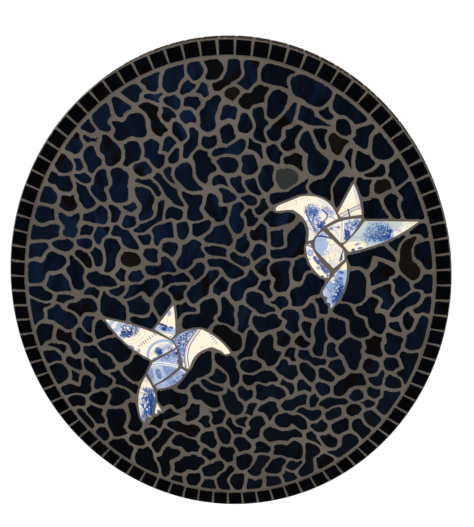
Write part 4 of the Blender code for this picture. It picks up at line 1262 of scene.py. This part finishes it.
class Glaze:
    """Colours painted on a shard's glaze, at points in drawn millimetres."""

    def __init__(self, x, z, ground, seed):
        self.x, self.z, self.seed = x, z, seed
        self.colour = np.tile(from_screen(PIGMENTS[ground]), x.shape + (1,))

    def lay(self, pigment, cover):
        """Paints over what is there, as far as the cover goes."""
        new = from_screen(PIGMENTS[pigment])
        self.colour += (new - self.colour) * np.clip(cover, 0, 1)[..., None]

    def noise(self, size, stretch=1.0):
        """A fresh random field; a stretch above one draws it out upwards."""
        self.seed += 1
        return value_noise(self.x + PAINT_SHIFT, (self.z + PAINT_SHIFT) / stretch, size, self.seed)

    def spread(self, x, z, wide, tall, turn):
        """Distance from the middle of a turned oval as a share of its size, and the angle."""
        angle = math.radians(turn)
        across = (self.x - x) * math.cos(angle) + (self.z - z) * math.sin(angle)
        up = (self.z - z) * math.cos(angle) - (self.x - x) * math.sin(angle)
        return np.hypot(across / wide, up / tall), np.arctan2(up, across)

    def path_distance(self, points):
        """Distance to a line through points, and how far along it the nearest place is."""
        nearest, along, done = np.full(self.x.shape, np.inf), np.zeros(self.x.shape), 0.0
        points = curved(points)
        for (x0, z0), (x1, z1) in zip(points, points[1:]):
            length = math.hypot(x1 - x0, z1 - z0)
            share = ((self.x - x0) * (x1 - x0) + (self.z - z0) * (z1 - z0)) / length ** 2
            share = np.clip(share, 0, 1)
            away = np.hypot(self.x - x0 - share * (x1 - x0), self.z - z0 - share * (z1 - z0))
            along = np.where(away < nearest, done + share * length, along)
            nearest = np.minimum(nearest, away)
            done += length
        return nearest, along

    def wash(self, pigment, x, z, wide, tall, turn, strength):
        """A flat wash inside an oval with a wandering edge."""
        away, _ = self.spread(x, z, wide, tall, turn)
        away = away + 0.5 * (self.noise(3.4) - 0.5) + 0.25 * (self.noise(1.3) - 0.5)
        self.lay(pigment, strength * ease((1.12 - away) / 0.24))

    def foliage(self, pigment, x, z, wide, tall, turn, grain, density):
        """Dabbed leaves: noise of a grain that is cut off where it falls under a threshold."""
        away, _ = self.spread(x, z, wide, tall, turn)
        dabs = 0.62 * self.noise(grain) + 0.38 * self.noise(grain * 0.55)
        limit = 1 - density + 0.45 * np.clip(away, 0, 2) ** 3
        self.lay(pigment, 0.92 * soft(dabs - limit, 0.14))

    def streaks(self, pigment, x, z, wide, tall, grain, density):
        """Foliage drawn out upwards in long brush strokes."""
        away, _ = self.spread(x, z, wide, tall, 0)
        dabs = 0.65 * self.noise(grain, 3.2) + 0.35 * self.noise(grain * 0.6, 2.0)
        limit = 1 - density + 0.45 * np.clip(away, 0, 2) ** 4
        self.lay(pigment, 0.94 * soft(dabs - limit, 0.12))

    def stroke(self, pigment, points, width, strength):
        """One brush stroke along a line, whose width wanders a little."""
        away, _ = self.path_distance(points)
        half = width / 2 * (0.8 + 0.4 * self.noise(2.2))
        self.lay(pigment, strength * soft(half - away, BRUSH_EDGE))

    def scallop(self, pigment, points, pitch, strength):
        """A row of small arches along a line, as round a cloud."""
        away, along = self.path_distance(points)
        arch = np.abs(np.sin(math.pi * along / pitch)) * pitch * 0.32
        line = soft(0.5 - np.abs(away - arch), BRUSH_EDGE)
        self.lay(pigment, strength * line * (self.noise(2.4) > 0.3))

    def band(self, pigment, points, width, pitch, strength):
        """A railing: two lines a width apart with slanting bars between them."""
        away, along = self.path_distance(points)
        rails = soft(0.42 - np.abs(away - width / 2), 0.3)
        bars = soft(np.sin(2 * math.pi * (along + 0.6 * away) / pitch) - 0.1, 0.5)
        bars = bars * (away < width / 2) * (self.noise(1.6) > 0.35)
        self.lay(pigment, strength * np.maximum(rails, 0.75 * bars))

    def rails(self, pigment, points, count, pitch, strength):
        """Lines beside each other on one side of a line."""
        away, _ = self.path_distance(points)
        lines = soft(np.cos(2 * math.pi * away / pitch) - 0.35, 0.4)
        self.lay(pigment, strength * lines * (away < (count - 0.4) * pitch / 2))

    def hatch(self, pigment, x, z, wide, tall, angle, pitch, strength):
        """Parallel strokes at an angle inside an oval, broken here and there."""
        away, _ = self.spread(x, z, wide, tall, 0)
        turn = math.radians(angle)
        across = -self.x * math.sin(turn) + self.z * math.cos(turn) + 0.8 * self.noise(4.0)
        lines = soft(np.cos(2 * math.pi * across / pitch) - 0.3, 0.5) * ease((1.1 - away) / 0.3)
        self.lay(pigment, strength * lines * ease((self.noise(2.5) - 0.25) / 0.2))

    def flower(self, pigment, x, z, radius, petals, strength):
        """A loose round bloom: uneven petals about a light heart, on a pale ground."""
        away, angle = self.spread(x, z, radius, radius, 0)
        away = away + 0.3 * (self.noise(1.8) - 0.5)
        angle = angle + 0.5 * (self.noise(3.0) - 0.5)
        edge = 0.84 + 0.16 * np.cos(petals * angle)
        bloom = ease((edge - away) / 0.14) * ease((away - 0.26) / 0.1)
        petal = ease((np.cos(petals * angle) + 0.85) / 0.4)
        self.lay("pale_lilac", ease((1.1 - away) / 0.3) * 0.7)
        self.lay(pigment, strength * bloom * petal * (0.65 + 0.35 * ease(2 * self.noise(1.4) - 0.3)))

    def ring(self, pigment, x, z, radius, width, strength):
        """A circle line of a width."""
        away, _ = self.spread(x, z, 1, 1, 0)
        self.lay(pigment, strength * soft(width / 2 - np.abs(away - radius), 0.4))

    def row(self, pigment, start, end, count, height, strength):
        """A row of short upright strokes of uneven height."""
        (x0, z0), (x1, z1) = start, end
        length = math.hypot(x1 - x0, z1 - z0)
        along = ((self.x - x0) * (x1 - x0) + (self.z - z0) * (z1 - z0)) / length
        off = (-(self.x - x0) * (z1 - z0) + (self.z - z0) * (x1 - x0)) / length
        pitch = length / count
        cell = np.floor(along / pitch).astype(int)
        drawn = cell % NOISE_TABLE
        self.seed += 1
        rng = np.random.default_rng(self.seed)
        tall = rng.uniform(0.45, 1.0, NOISE_TABLE)[drawn] * height
        lean = rng.uniform(-0.35, 0.35, NOISE_TABLE)[drawn]
        from_middle = along / pitch - cell - 0.5 - lean * off / max(height, 1)
        thick = 0.17 if height > 2 else 0.26
        mark = soft(thick - np.abs(from_middle), 0.1) * soft(tall / 2 - np.abs(off), 0.3)
        self.lay(pigment, strength * mark * ((along > 0) & (along < length)))


def resampled(points, count):
    """A line through points as count points at equal steps along it."""
    run = np.concatenate(([0.0], np.cumsum(np.hypot(*np.diff(points, axis=0).T))))
    places = np.linspace(0, run[-1], count)
    return np.column_stack([np.interp(places, run, points[:, k]) for k in (0, 1)])


def shard_face(corners, start, end, scale, sizes):
    """Face of a shard in drawn millimetres: its two tips, columns of points, and its outline.

    A point is the lower long side plus a share of the way to the upper one; the shares crowd
    near both sides, where the glaze turns down.
    """
    sides = bowed_sides(corners, SHARD_CHORD / scale)
    count = len(sides)
    upper = [sides[(start + k) % count] for k in range((end - start) % count)]
    lower = [sides[(end + k) % count] for k in range((start - end) % count)]
    first, last = (np.array([corners[number][:2]], float) for number in (start, end))
    upper = np.concatenate(upper + [last])
    lower = np.concatenate(lower + [first])[::-1]
    longest = max(np.hypot(*np.diff(line, axis=0).T).sum() for line in (upper, lower)) * scale
    columns = max(LEAST_COLUMNS, round(longest / sizes.print_pitch))
    upper, lower = resampled(upper, columns), resampled(lower, columns)
    width = np.hypot(*(upper - lower).T) * scale
    rows = max(LEAST_ROWS, round(width.max() / sizes.print_pitch))
    rim = np.minimum(sizes.glaze_edge / np.maximum(width, 1e-9), WIDEST_GLAZE_EDGE)[:, None]
    steps = np.array(GLAZE_STEPS)
    inner = np.linspace(0, 1, rows)[1:-1]
    share = np.concatenate((rim * steps, rim + (1 - 2 * rim) * inner, 1 - rim * steps[::-1]), axis=1)[1:-1]
    plan = lower[1:-1, None] + (upper - lower)[1:-1, None] * share[..., None]
    outline = np.concatenate((upper[:-1], lower[:0:-1]))
    return np.stack((upper[0], upper[-1])), plan, outline


def shard_depth(drawn, outline):
    """How far inside a shard's outline points lie, worked out for some thousands at a time."""
    depth = np.empty(len(drawn))
    for part in np.array_split(np.arange(len(drawn)), max(1, len(drawn) // POINTS_AT_ONCE)):
        depth[part] = -outline_distance(drawn[part, 0], drawn[part, 1], outline)
    return depth


def shard_faces(columns, rows):
    """Quads and triangles of a shard, and the loop of points round its face.

    Its points are the two tips, the columns of the face, and the loop once more on the back.
    Quads fill the face between its columns, the wall and the back; triangles close the tips.
    """
    index = 2 + np.arange(columns * rows).reshape(columns, rows)
    faces = np.stack((index[:-1, :-1], index[1:, :-1], index[1:, 1:], index[:-1, 1:]), axis=-1)
    first, last = index[0], index[-1]
    loop = np.concatenate(([0], index[:, -1], [1], index[::-1, 0]))
    under = 2 + index.size + np.arange(len(loop))
    wall = np.column_stack((loop, np.roll(loop, -1), np.roll(under, -1), under))
    high, low = under[1:columns + 1], under[:columns + 1:-1]
    back = np.column_stack((high[:-1], high[1:], low[1:], low[:-1]))
    fans = (np.column_stack((np.zeros(rows - 1, int), first[:-1], first[1:])),
            np.column_stack((last[:-1], np.ones(rows - 1, int), last[1:])),
            np.array([(under[0], high[0], low[0]), (high[-1], under[columns + 1], low[-1])]))
    return np.concatenate((faces.reshape(-1, 4), wall, back)), np.concatenate(fans), loop


def shard_form(corners, start, end, scale, shift, sizes):
    """Closed form of a shard: a ruled surface between its two long sides, walls and a back.

    Towards the outline the glaze drops along a quarter circle, and the middle is dished by a
    smooth random field. Returns the form, the points in drawn millimetres and the share of
    glaze at each.
    """
    tips, plan, outline = shard_face(corners, start, end, scale, sizes)
    quads, fans, loop = shard_faces(*plan.shape[:2])
    drawn = np.concatenate((tips, plan.reshape(-1, 2)))
    share_in = shard_depth(drawn, outline) * scale / sizes.glaze_edge
    drop = GLAZE_DROP_SHARE * sizes.glaze_edge * (1 - np.sqrt(1 - (1 - np.clip(share_in, 0, 1)) ** 2))
    dish = sizes.glaze_dish * value_noise(*(drawn + DISH_SHIFT).T, *GLAZE_CLOUDS)
    levels = np.concatenate((CHINA_FACE - drop - dish, np.full(len(loop), BED_BACK)))
    glazed = np.concatenate((ease(share_in * GLAZED_SLOPE + GLAZED_START), np.zeros(len(loop))))
    drawn = np.concatenate((drawn, drawn[loop]))
    return (facing(drawn * scale + shift, levels), quads, fans), drawn, glazed


def build_bird(side, context):
    """The seven shards of a bird, each painted and glazed."""
    sizes = context.scene.mosaic_sizes
    shards, tip, span, share = BIRDS[side]
    scale, shift = bird_place(shards, tip, span, share)
    material = finish_of("china_finish", china_finish)
    biscuit = from_screen(BISCUIT)
    for number, (name, (corners, start, end)) in enumerate(shards.items()):
        form, drawn, glazed = shard_form(corners, start, end, scale, shift, sizes)
        ground, strokes = PRINTS[side + name]
        glaze = Glaze(drawn[:, 0], drawn[:, 1], ground, 100 * number + len(side))
        for method, *values in strokes:
            getattr(glaze, method)(*values)
        colour = biscuit + (glaze.colour - biscuit) * glazed[:, None]
        piece = make_piece("china_" + side + name, [side + name], form, material)
        mark_points(piece, "print", "FLOAT_COLOR", np.column_stack((colour, glazed)))


def tinted(piece, rings, rim_rings, tints, strengths, rng):
    """Gives every point of a form its tint, its share of streaks and its place in the noise; on the edge
    tiles the tint is a brown painted reflection.

    The points of the first rings and the back are the rim.
    """
    forms, levels, sides = rings.shape[:3]
    each = levels * sides + 2
    rim = np.zeros((forms, each))
    rim[:, :rim_rings * sides] = 1
    mark_points(piece, "glass_rim", "FLOAT", rim.ravel())
    marks = rng.uniform(0, MARK_REACH, (forms, 3))
    tints = np.column_stack((tints, strengths))
    mark_points(piece, "glass_tint_and_painted_reflection", "FLOAT_COLOR", np.repeat(tints, each, axis=0))
    mark_points(piece, "glass_mark", "FLOAT_VECTOR", np.repeat(marks, each, axis=0))


FIELD_PLAN = {}


def field_plan():
    """The plan of the field, worked out once: outlines and middles of the pieces, and the birds."""
    if not FIELD_PLAN:
        birds = plan_birds()
        shards = list(birds.values())
        outlines, middles = Field(shards, bird_tips(birds)).pieces()
        FIELD_PLAN.update(outlines=outlines, middles=middles, shards=shards)
    return FIELD_PLAN


def tile_forms(count, sizes, rng):
    """Square tiles in their own plane: rings of a rounded square, with a face that leans.

    Returns the points of each tile across, along the other way and up from its back.
    """
    turn = rng.normal(0, TILE_TURN, count)[:, None, None]
    shake = rng.uniform(-1, 1, (count, 2)) * sizes.tile_shake
    lean = rng.normal(0, TILE_LEAN, (count, 2))
    inset, drop = np.array(TILE_RIM).T
    square = rounded_square(TILE_SIDE, TILE_CORNER, TILE_CORNER_STEPS)
    across, up = np.moveaxis(square * (1 - 2 * inset / TILE_SIDE)[:, None, None], -1, 0)
    height = (TILE_THICKNESS - drop)[:, None]
    height[0] = 0
    a = across * np.cos(turn) - up * np.sin(turn) + shake[:, 0, None, None]
    b = across * np.sin(turn) + up * np.cos(turn) + shake[:, 1, None, None]
    rise = lean[:, 0, None, None] * across + lean[:, 1, None, None] * up
    return a, b, height + np.where(height > 0, rise, 0)


def field_tints(middles, navy, rng):
    """Tint and streak strength of each piece of the field.

    Both grow towards the upper left, and in two opposite corners of the field; low down the
    glass is greyer and less streaked. The odd pieces have colours of their own.
    """
    x, z = middles.T
    count = len(middles)
    slanted = np.clip((-x + UP_WEIGHT * z) / SLANT_REACH, -1, 1)
    corner = np.clip(-x * z / CORNER_REACH, -1, 1)
    low = np.clip(-z / LOW_REACH, 0, 1)
    over_panel = np.stack((np.ones(count), slanted, corner))
    depth = rng.uniform(*FIELD_TINTS, count) * (DEPTH_SHARES @ over_panel)
    tints = np.array(navy) * depth[:, None] * (1 + low[:, None] * np.array(LOW_SHIFT))
    strengths = rng.uniform(*FIELD_STREAKS, count) * (STREAK_SHARES @ over_panel)
    strengths = np.clip(strengths * (1 - LOW_STREAK_LOSS * low), 0, 1)
    for name, places in ODD_PIECES.items():
        for spot in places:
            nearest = np.hypot(*(middles - np.array(spot) / 1000).T).argmin()
            tints[nearest] = ODD_COLOURS[name]
            strengths[nearest] = 0
    return tints, strengths


def at_stations(stations, along_by, outward_by):
    """Points in plan: each station's centre, moved along the oval and outwards."""
    centre, along, outward = (part[:, None, None] for part in stations)
    return centre + along_by[..., None] * along + outward_by[..., None] * outward


def build_row(side, rings, material, tints, strengths, rng, profile, relief, colours):
    """The tiles of one row from their rings, and the grout between them."""
    node = side + "_tiles"
    form = lofted(rings, rings[:, 0].mean(axis=1), rings[:, -1].mean(axis=1))
    tiles = make_piece(side + "_glass_tiles", [node], form, material)
    tinted(tiles, rings, TILE_RIM_RINGS, tints, strengths, rng)
    grout = finish_of("grout_finish", grout_finish, colours)
    make_piece(side + "_grout", [node], swept(profile, relief), grout)


def oval_grid(half_width, half_height, count):
    """A square grid on an oval: each square ring becomes an oval of equal share.

    Returns the points across and up, and how far out each lies from 0 to 1.
    """
    line = np.linspace(-1, 1, count)
    a, b = np.meshgrid(line, line)
    wide = np.abs(a) > np.abs(b)
    radius = np.where(wide, a, b)
    safe = np.where(radius == 0, 1, radius)
    angle = math.pi / 4 * np.where(wide, b / safe, 2 - a / safe)
    x, z = half_width * radius * np.cos(angle), half_height * radius * np.sin(angle)
    return x, z, np.abs(radius)


class MOSAIC_OT_backing_board(bpy.types.Operator):
    """Builds the plywood oval that carries everything"""

    bl_idname = "mosaic.backing_board"
    bl_label = "Backing board"

    def execute(self, context):
        rings = [facing(oval_points(BOARD_INSET + inset, BOARD_SIDES), level)
                 for inset, level in BOARD_EDGE]
        poles = [np.array([(0.0, -level, 0.0)]) for level in (0.0, BOARD_FRONT)]
        form = lofted(np.array(rings)[None], *poles)
        material = board_finish(context.scene.mosaic_colours)
        make_piece("plywood_board", ["backing_board"], form, material)
        return {"FINISHED"}


class MOSAIC_OT_edge_tiles(bpy.types.Operator):
    """Builds the row of tiles round the board's edge and the grout between them"""

    bl_idname = "mosaic.edge_tiles"
    bl_label = "Edge tiles"

    def execute(self, context):
        sizes, colours = context.scene.mosaic_sizes, context.scene.mosaic_colours
        rng = np.random.default_rng(EDGE_SEED)
        stations = oval_stations(TILE_THICKNESS / 2, TILE_PITCH)
        count = len(stations[0])
        a, b, height = tile_forms(count, sizes, rng)
        b = np.clip(b, -TILE_SIDE / 2, TILE_SIDE / 2)
        height = np.minimum(height, TILE_THICKNESS) - TILE_THICKNESS / 2
        rings = facing(at_stations(stations, a, height), EDGE_MIDDLE - b)
        material = glass_finish("edge_glass", colours.streak, colours.smoke, *EDGE_LOOKS)
        # Painted reflection: the brown of these tiles stands in for the surroundings mirrored in their
        # black glass
        tints = np.array(colours.edge_painted_reflection) * rng.uniform(*EDGE_REFLECTION_SPREAD, (count, 1))
        build_row("edge", rings, material, tints, np.zeros(count), rng, EDGE_GROUT, 0.0, colours)
        return {"FINISHED"}


class MOSAIC_OT_border_tiles(bpy.types.Operator):
    """Builds the ring of square tiles on the face and the grout that they stand in"""

    bl_idname = "mosaic.border_tiles"
    bl_label = "Border tiles"

    def execute(self, context):
        sizes, colours = context.scene.mosaic_sizes, context.scene.mosaic_colours
        rng = np.random.default_rng(BORDER_SEED)
        stations = oval_stations(BORDER_MID_INSET, TILE_PITCH)
        count = len(stations[0])
        a, b, height = tile_forms(count, sizes, rng)
        rings = facing(at_stations(stations, a, b), TILE_FACE - TILE_THICKNESS + height)
        smoke = BORDER_SMOKE_SHARE * np.array(colours.smoke)
        material = glass_finish("black_glass", colours.streak, smoke, *BORDER_LOOKS)
        tints = np.array(colours.black) * rng.uniform(*BORDER_TINTS, (count, 1))
        strengths = rng.uniform(*BORDER_STREAKS, count)
        build_row("border", rings, material, tints, strengths, rng, BORDER_GROUT, sizes.grout_relief,
                  colours)
        return {"FINISHED"}


class MOSAIC_OT_field_grout(bpy.types.Operator):
    """Builds the grout bed of the field, which rises a little against glass and china"""

    bl_idname = "mosaic.field_grout"
    bl_label = "Field grout"

    def execute(self, context):
        """Level = low face + rise times e to the minus distance to the nearest piece over a reach."""
        sizes, plan = context.scene.mosaic_sizes, field_plan()
        half_width, half_height = half_sizes(BORDER_INNER_INSET - GROUT_OVERLAP)
        count = round(2 * math.sqrt(half_width * half_height) / sizes.grout_pitch)
        x, z, radius = oval_grid(half_width, half_height, count)
        away = np.full(x.shape, OPEN_GROUT)
        for outline in [*plan["outlines"], *plan["shards"]]:
            near = close_by(x, z, outline, GROUT_SEARCH)
            away[near] = np.minimum(away[near], outline_distance(x[near], z[near], outline))
        clouds = value_noise(x + GROUT_SHIFT, z + GROUT_SHIFT, *GROUT_CLOUDS) - (1 + GRAIN_SHARE) / 2
        grains = GRAIN_SHARE * value_noise(x + GROUT_SHIFT, z + GROUT_SHIFT, *GROUT_GRAINS)
        rise = GROUT_RISE * np.exp(-np.maximum(away, 0) / GROUT_RISE_REACH)
        level = GROUT_LEVEL + rise + sizes.grout_relief * (clouds + grains)
        level = np.where(radius > 1 - 3 / count, GROUT_RIM_LEVEL, level)
        top = facing(np.stack((x, z), axis=-1), level).reshape(-1, 3)
        index = np.arange(count * count).reshape(count, count)
        faces = np.stack((index[:-1, :-1], index[:-1, 1:], index[1:, 1:], index[1:, :-1]), axis=-1)
        loop = np.concatenate((index[0, :-1], index[:-1, -1], index[-1, :0:-1], index[:0:-1, 0]))
        under = len(top) + np.arange(len(loop))
        walls = np.column_stack((under, np.roll(under, -1), np.roll(loop, -1), loop))
        bottom = top[loop] * (1, 0, 1) - (0, BED_BACK, 0)
        middle = np.full(len(loop), len(top) + len(loop))
        points = np.concatenate((top, bottom, [(0.0, -BED_BACK, 0.0)]))
        quads = np.concatenate((faces.reshape(-1, 4), walls))
        fan = np.column_stack((np.roll(under, -1), under, middle))
        grout = finish_of("grout_finish", grout_finish, context.scene.mosaic_colours)
        make_piece("field_grout", ["field_glass"], (points, quads, fan), grout)
        return {"FINISHED"}


class MOSAIC_OT_field_glass(bpy.types.Operator):
    """Builds the irregular glass pieces of the field, each with its own tint and lean"""

    bl_idname = "mosaic.field_glass"
    bl_label = "Field glass"

    def execute(self, context):
        """Each ring is the outline moved in along its normals; the face is a leaning plane."""
        sizes, colours = context.scene.mosaic_sizes, context.scene.mosaic_colours
        plan = field_plan()
        outlines, middles = plan["outlines"], plan["middles"]
        rng = np.random.default_rng(GLASS_SEED)
        count = len(outlines)
        side = np.roll(outlines, -1, axis=1) - np.roll(outlines, 1, axis=1)
        length = np.hypot(side[..., 0], side[..., 1])
        normal = np.stack((side[..., 1], -side[..., 0]), axis=-1) / length[..., None]
        slope = rng.normal(0, PIECE_LEAN, (count, 1, 2))
        reach = np.abs(np.sum(slope * (outlines - middles[:, None]), axis=-1)).max(axis=1)
        slope *= np.minimum(1, sizes.glass_lean / reach)[:, None, None]

        def on_face(ring, drop):
            level = TILE_FACE + np.sum(slope * (ring - middles[:, None]), axis=-1)
            return facing(ring, level - drop)
        rings = [on_face(outlines - normal * inset, drop) for inset, drop in GLASS_RIM]
        rings.append(on_face(middles[:, None] + (outlines - middles[:, None]) * INNER_RING_SHARE, 0))
        rings = np.stack(rings, axis=1)
        poles = [facing(middles, TILE_FACE - drop) for drop in (GLASS_RIM[0][1], 0)]
        form = lofted(rings, *poles)
        material = glass_finish("navy_glass", colours.streak, colours.smoke, *FIELD_LOOKS)
        pieces = make_piece("field_glass_pieces", ["field_glass"], form, material)
        tinted(pieces, rings, GLASS_RIM_RINGS, *field_tints(middles, colours.navy, rng), rng)
        return {"FINISHED"}


class MOSAIC_OT_right_bird(bpy.types.Operator):
    """Builds the seven china shards of the right bird"""

    bl_idname = "mosaic.right_bird"
    bl_label = "Right bird"

    def execute(self, context):
        build_bird("right_bird_", context)
        return {"FINISHED"}


class MOSAIC_OT_left_bird(bpy.types.Operator):
    """Builds the seven china shards of the left bird"""

    bl_idname = "mosaic.left_bird"
    bl_label = "Left bird"

    def execute(self, context):
        build_bird("left_bird_", context)
        return {"FINISHED"}


def add_light(name, location, target, size, power, colour):
    """A soft square light that looks at a target."""
    light = bpy.data.lights.new(name, "AREA")
    light.shape = "SQUARE"
    light.size = size
    light.energy = power
    light.color = colour
    lamp = bpy.data.objects.new(name, light)
    lamp.location = location
    lamp.rotation_euler = (Vector(target) - Vector(location)).to_track_quat("-Z", "Y").to_euler()
    bpy.context.scene.collection.objects.link(lamp)


class MOSAIC_OT_stage(bpy.types.Operator):
    """Sets up the pale floor, the soft lights, the pale world and the camera"""

    bl_idname = "mosaic.stage"
    bl_label = "Stage"

    def execute(self, context):
        colours = context.scene.mosaic_colours
        mesh = bpy.data.meshes.new("floor")
        corners = [(x * FLOOR_REACH, y * FLOOR_REACH, FLOOR_LEVEL)
                   for x, y in ((-1, -1), (1, -1), (1, 1), (-1, 1))]
        mesh.from_pydata(corners, [], [(0, 1, 2, 3)])
        material, tree, shader, _ = new_finish("floor_finish", Roughness=0.9, Specular_IOR_Level=0.0,
                                               Base_Color=rgba(colours.floor), Emission_Color=WHITE)
        seen = add_node(tree, "ShaderNodeLightPath", {}).outputs["Is Camera Ray"]
        feed(tree, shader, Emission_Strength=ranged(tree, seen, 0.0, 1.0, 0.0, FLOOR_GLOW))
        mesh.materials.append(material)
        floor = bpy.data.objects.new("floor", mesh)
        floor.visible_glossy = False
        context.scene.collection.objects.link(floor)
        for light in LIGHTS:
            add_light(*light)
        world = bpy.data.worlds.new("pale_world")
        world.use_nodes = True
        tree = world.node_tree
        ray = add_node(tree, "ShaderNodeLightPath", {}).outputs
        lit = mixed(tree, ray["Is Glossy Ray"], WORLD_LIGHT, WORLD_MIRRORED)
        lit = mixed(tree, ray["Is Camera Ray"], lit, WHITE)
        tree.links.new(lit, tree.nodes["Background"].inputs["Color"])
        context.scene.world = world
        context.scene.view_settings.view_transform = "Standard"
        camera = bpy.data.cameras.new("camera")
        camera.sensor_width = CAMERA_SENSOR
        camera.lens = CAMERA_LENS
        camera.shift_y = CAMERA_SHIFT
        camera.clip_end = FLOOR_REACH
        viewer = bpy.data.objects.new("camera", camera)
        viewer.location = CAMERA_PLACE
        viewer.rotation_euler = [math.radians(angle) for angle in CAMERA_TURN]
        context.scene.collection.objects.link(viewer)
        context.scene.camera = viewer
        return {"FINISHED"}


OPERATORS = (MOSAIC_OT_backing_board, MOSAIC_OT_edge_tiles, MOSAIC_OT_border_tiles, MOSAIC_OT_field_grout,
             MOSAIC_OT_field_glass, MOSAIC_OT_right_bird, MOSAIC_OT_left_bird, MOSAIC_OT_stage)


class MOSAIC_PT_panel(bpy.types.Panel):
    """Lists the sizes, the colours and the building steps"""

    bl_idname = "MOSAIC_PT_panel"
    bl_label = "Mosaic panel"
    bl_space_type = "VIEW_3D"
    bl_region_type = "UI"
    bl_category = "Mosaic"

    def draw(self, context):
        for group in (context.scene.mosaic_sizes, context.scene.mosaic_colours):
            box = self.layout.box()
            for key in group.bl_rna.properties.keys():
                if key not in ("rna_type", "name"):
                    box.prop(group, key)
        for operator in OPERATORS:
            self.layout.operator(operator.bl_idname)


CLASSES = (MosaicSizes, MosaicColours, *OPERATORS, MOSAIC_PT_panel)


def register():
    """Makes the classes and their settings known to Blender."""
    for item in CLASSES:
        bpy.utils.register_class(item)
    bpy.types.Scene.mosaic_sizes = bpy.props.PointerProperty(type=MosaicSizes)
    bpy.types.Scene.mosaic_colours = bpy.props.PointerProperty(type=MosaicColours)


def unregister():
    """Takes the classes and their settings away again."""
    del bpy.types.Scene.mosaic_colours
    del bpy.types.Scene.mosaic_sizes
    for item in reversed(CLASSES):
        bpy.utils.unregister_class(item)


def main():
    """Builds every piece and the stage."""
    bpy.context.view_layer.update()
    register()
    for operator in OPERATORS:
        group, name = operator.bl_idname.split(".")
        getattr(getattr(bpy.ops, group), name)()


if __name__ == "__main__":
    main()
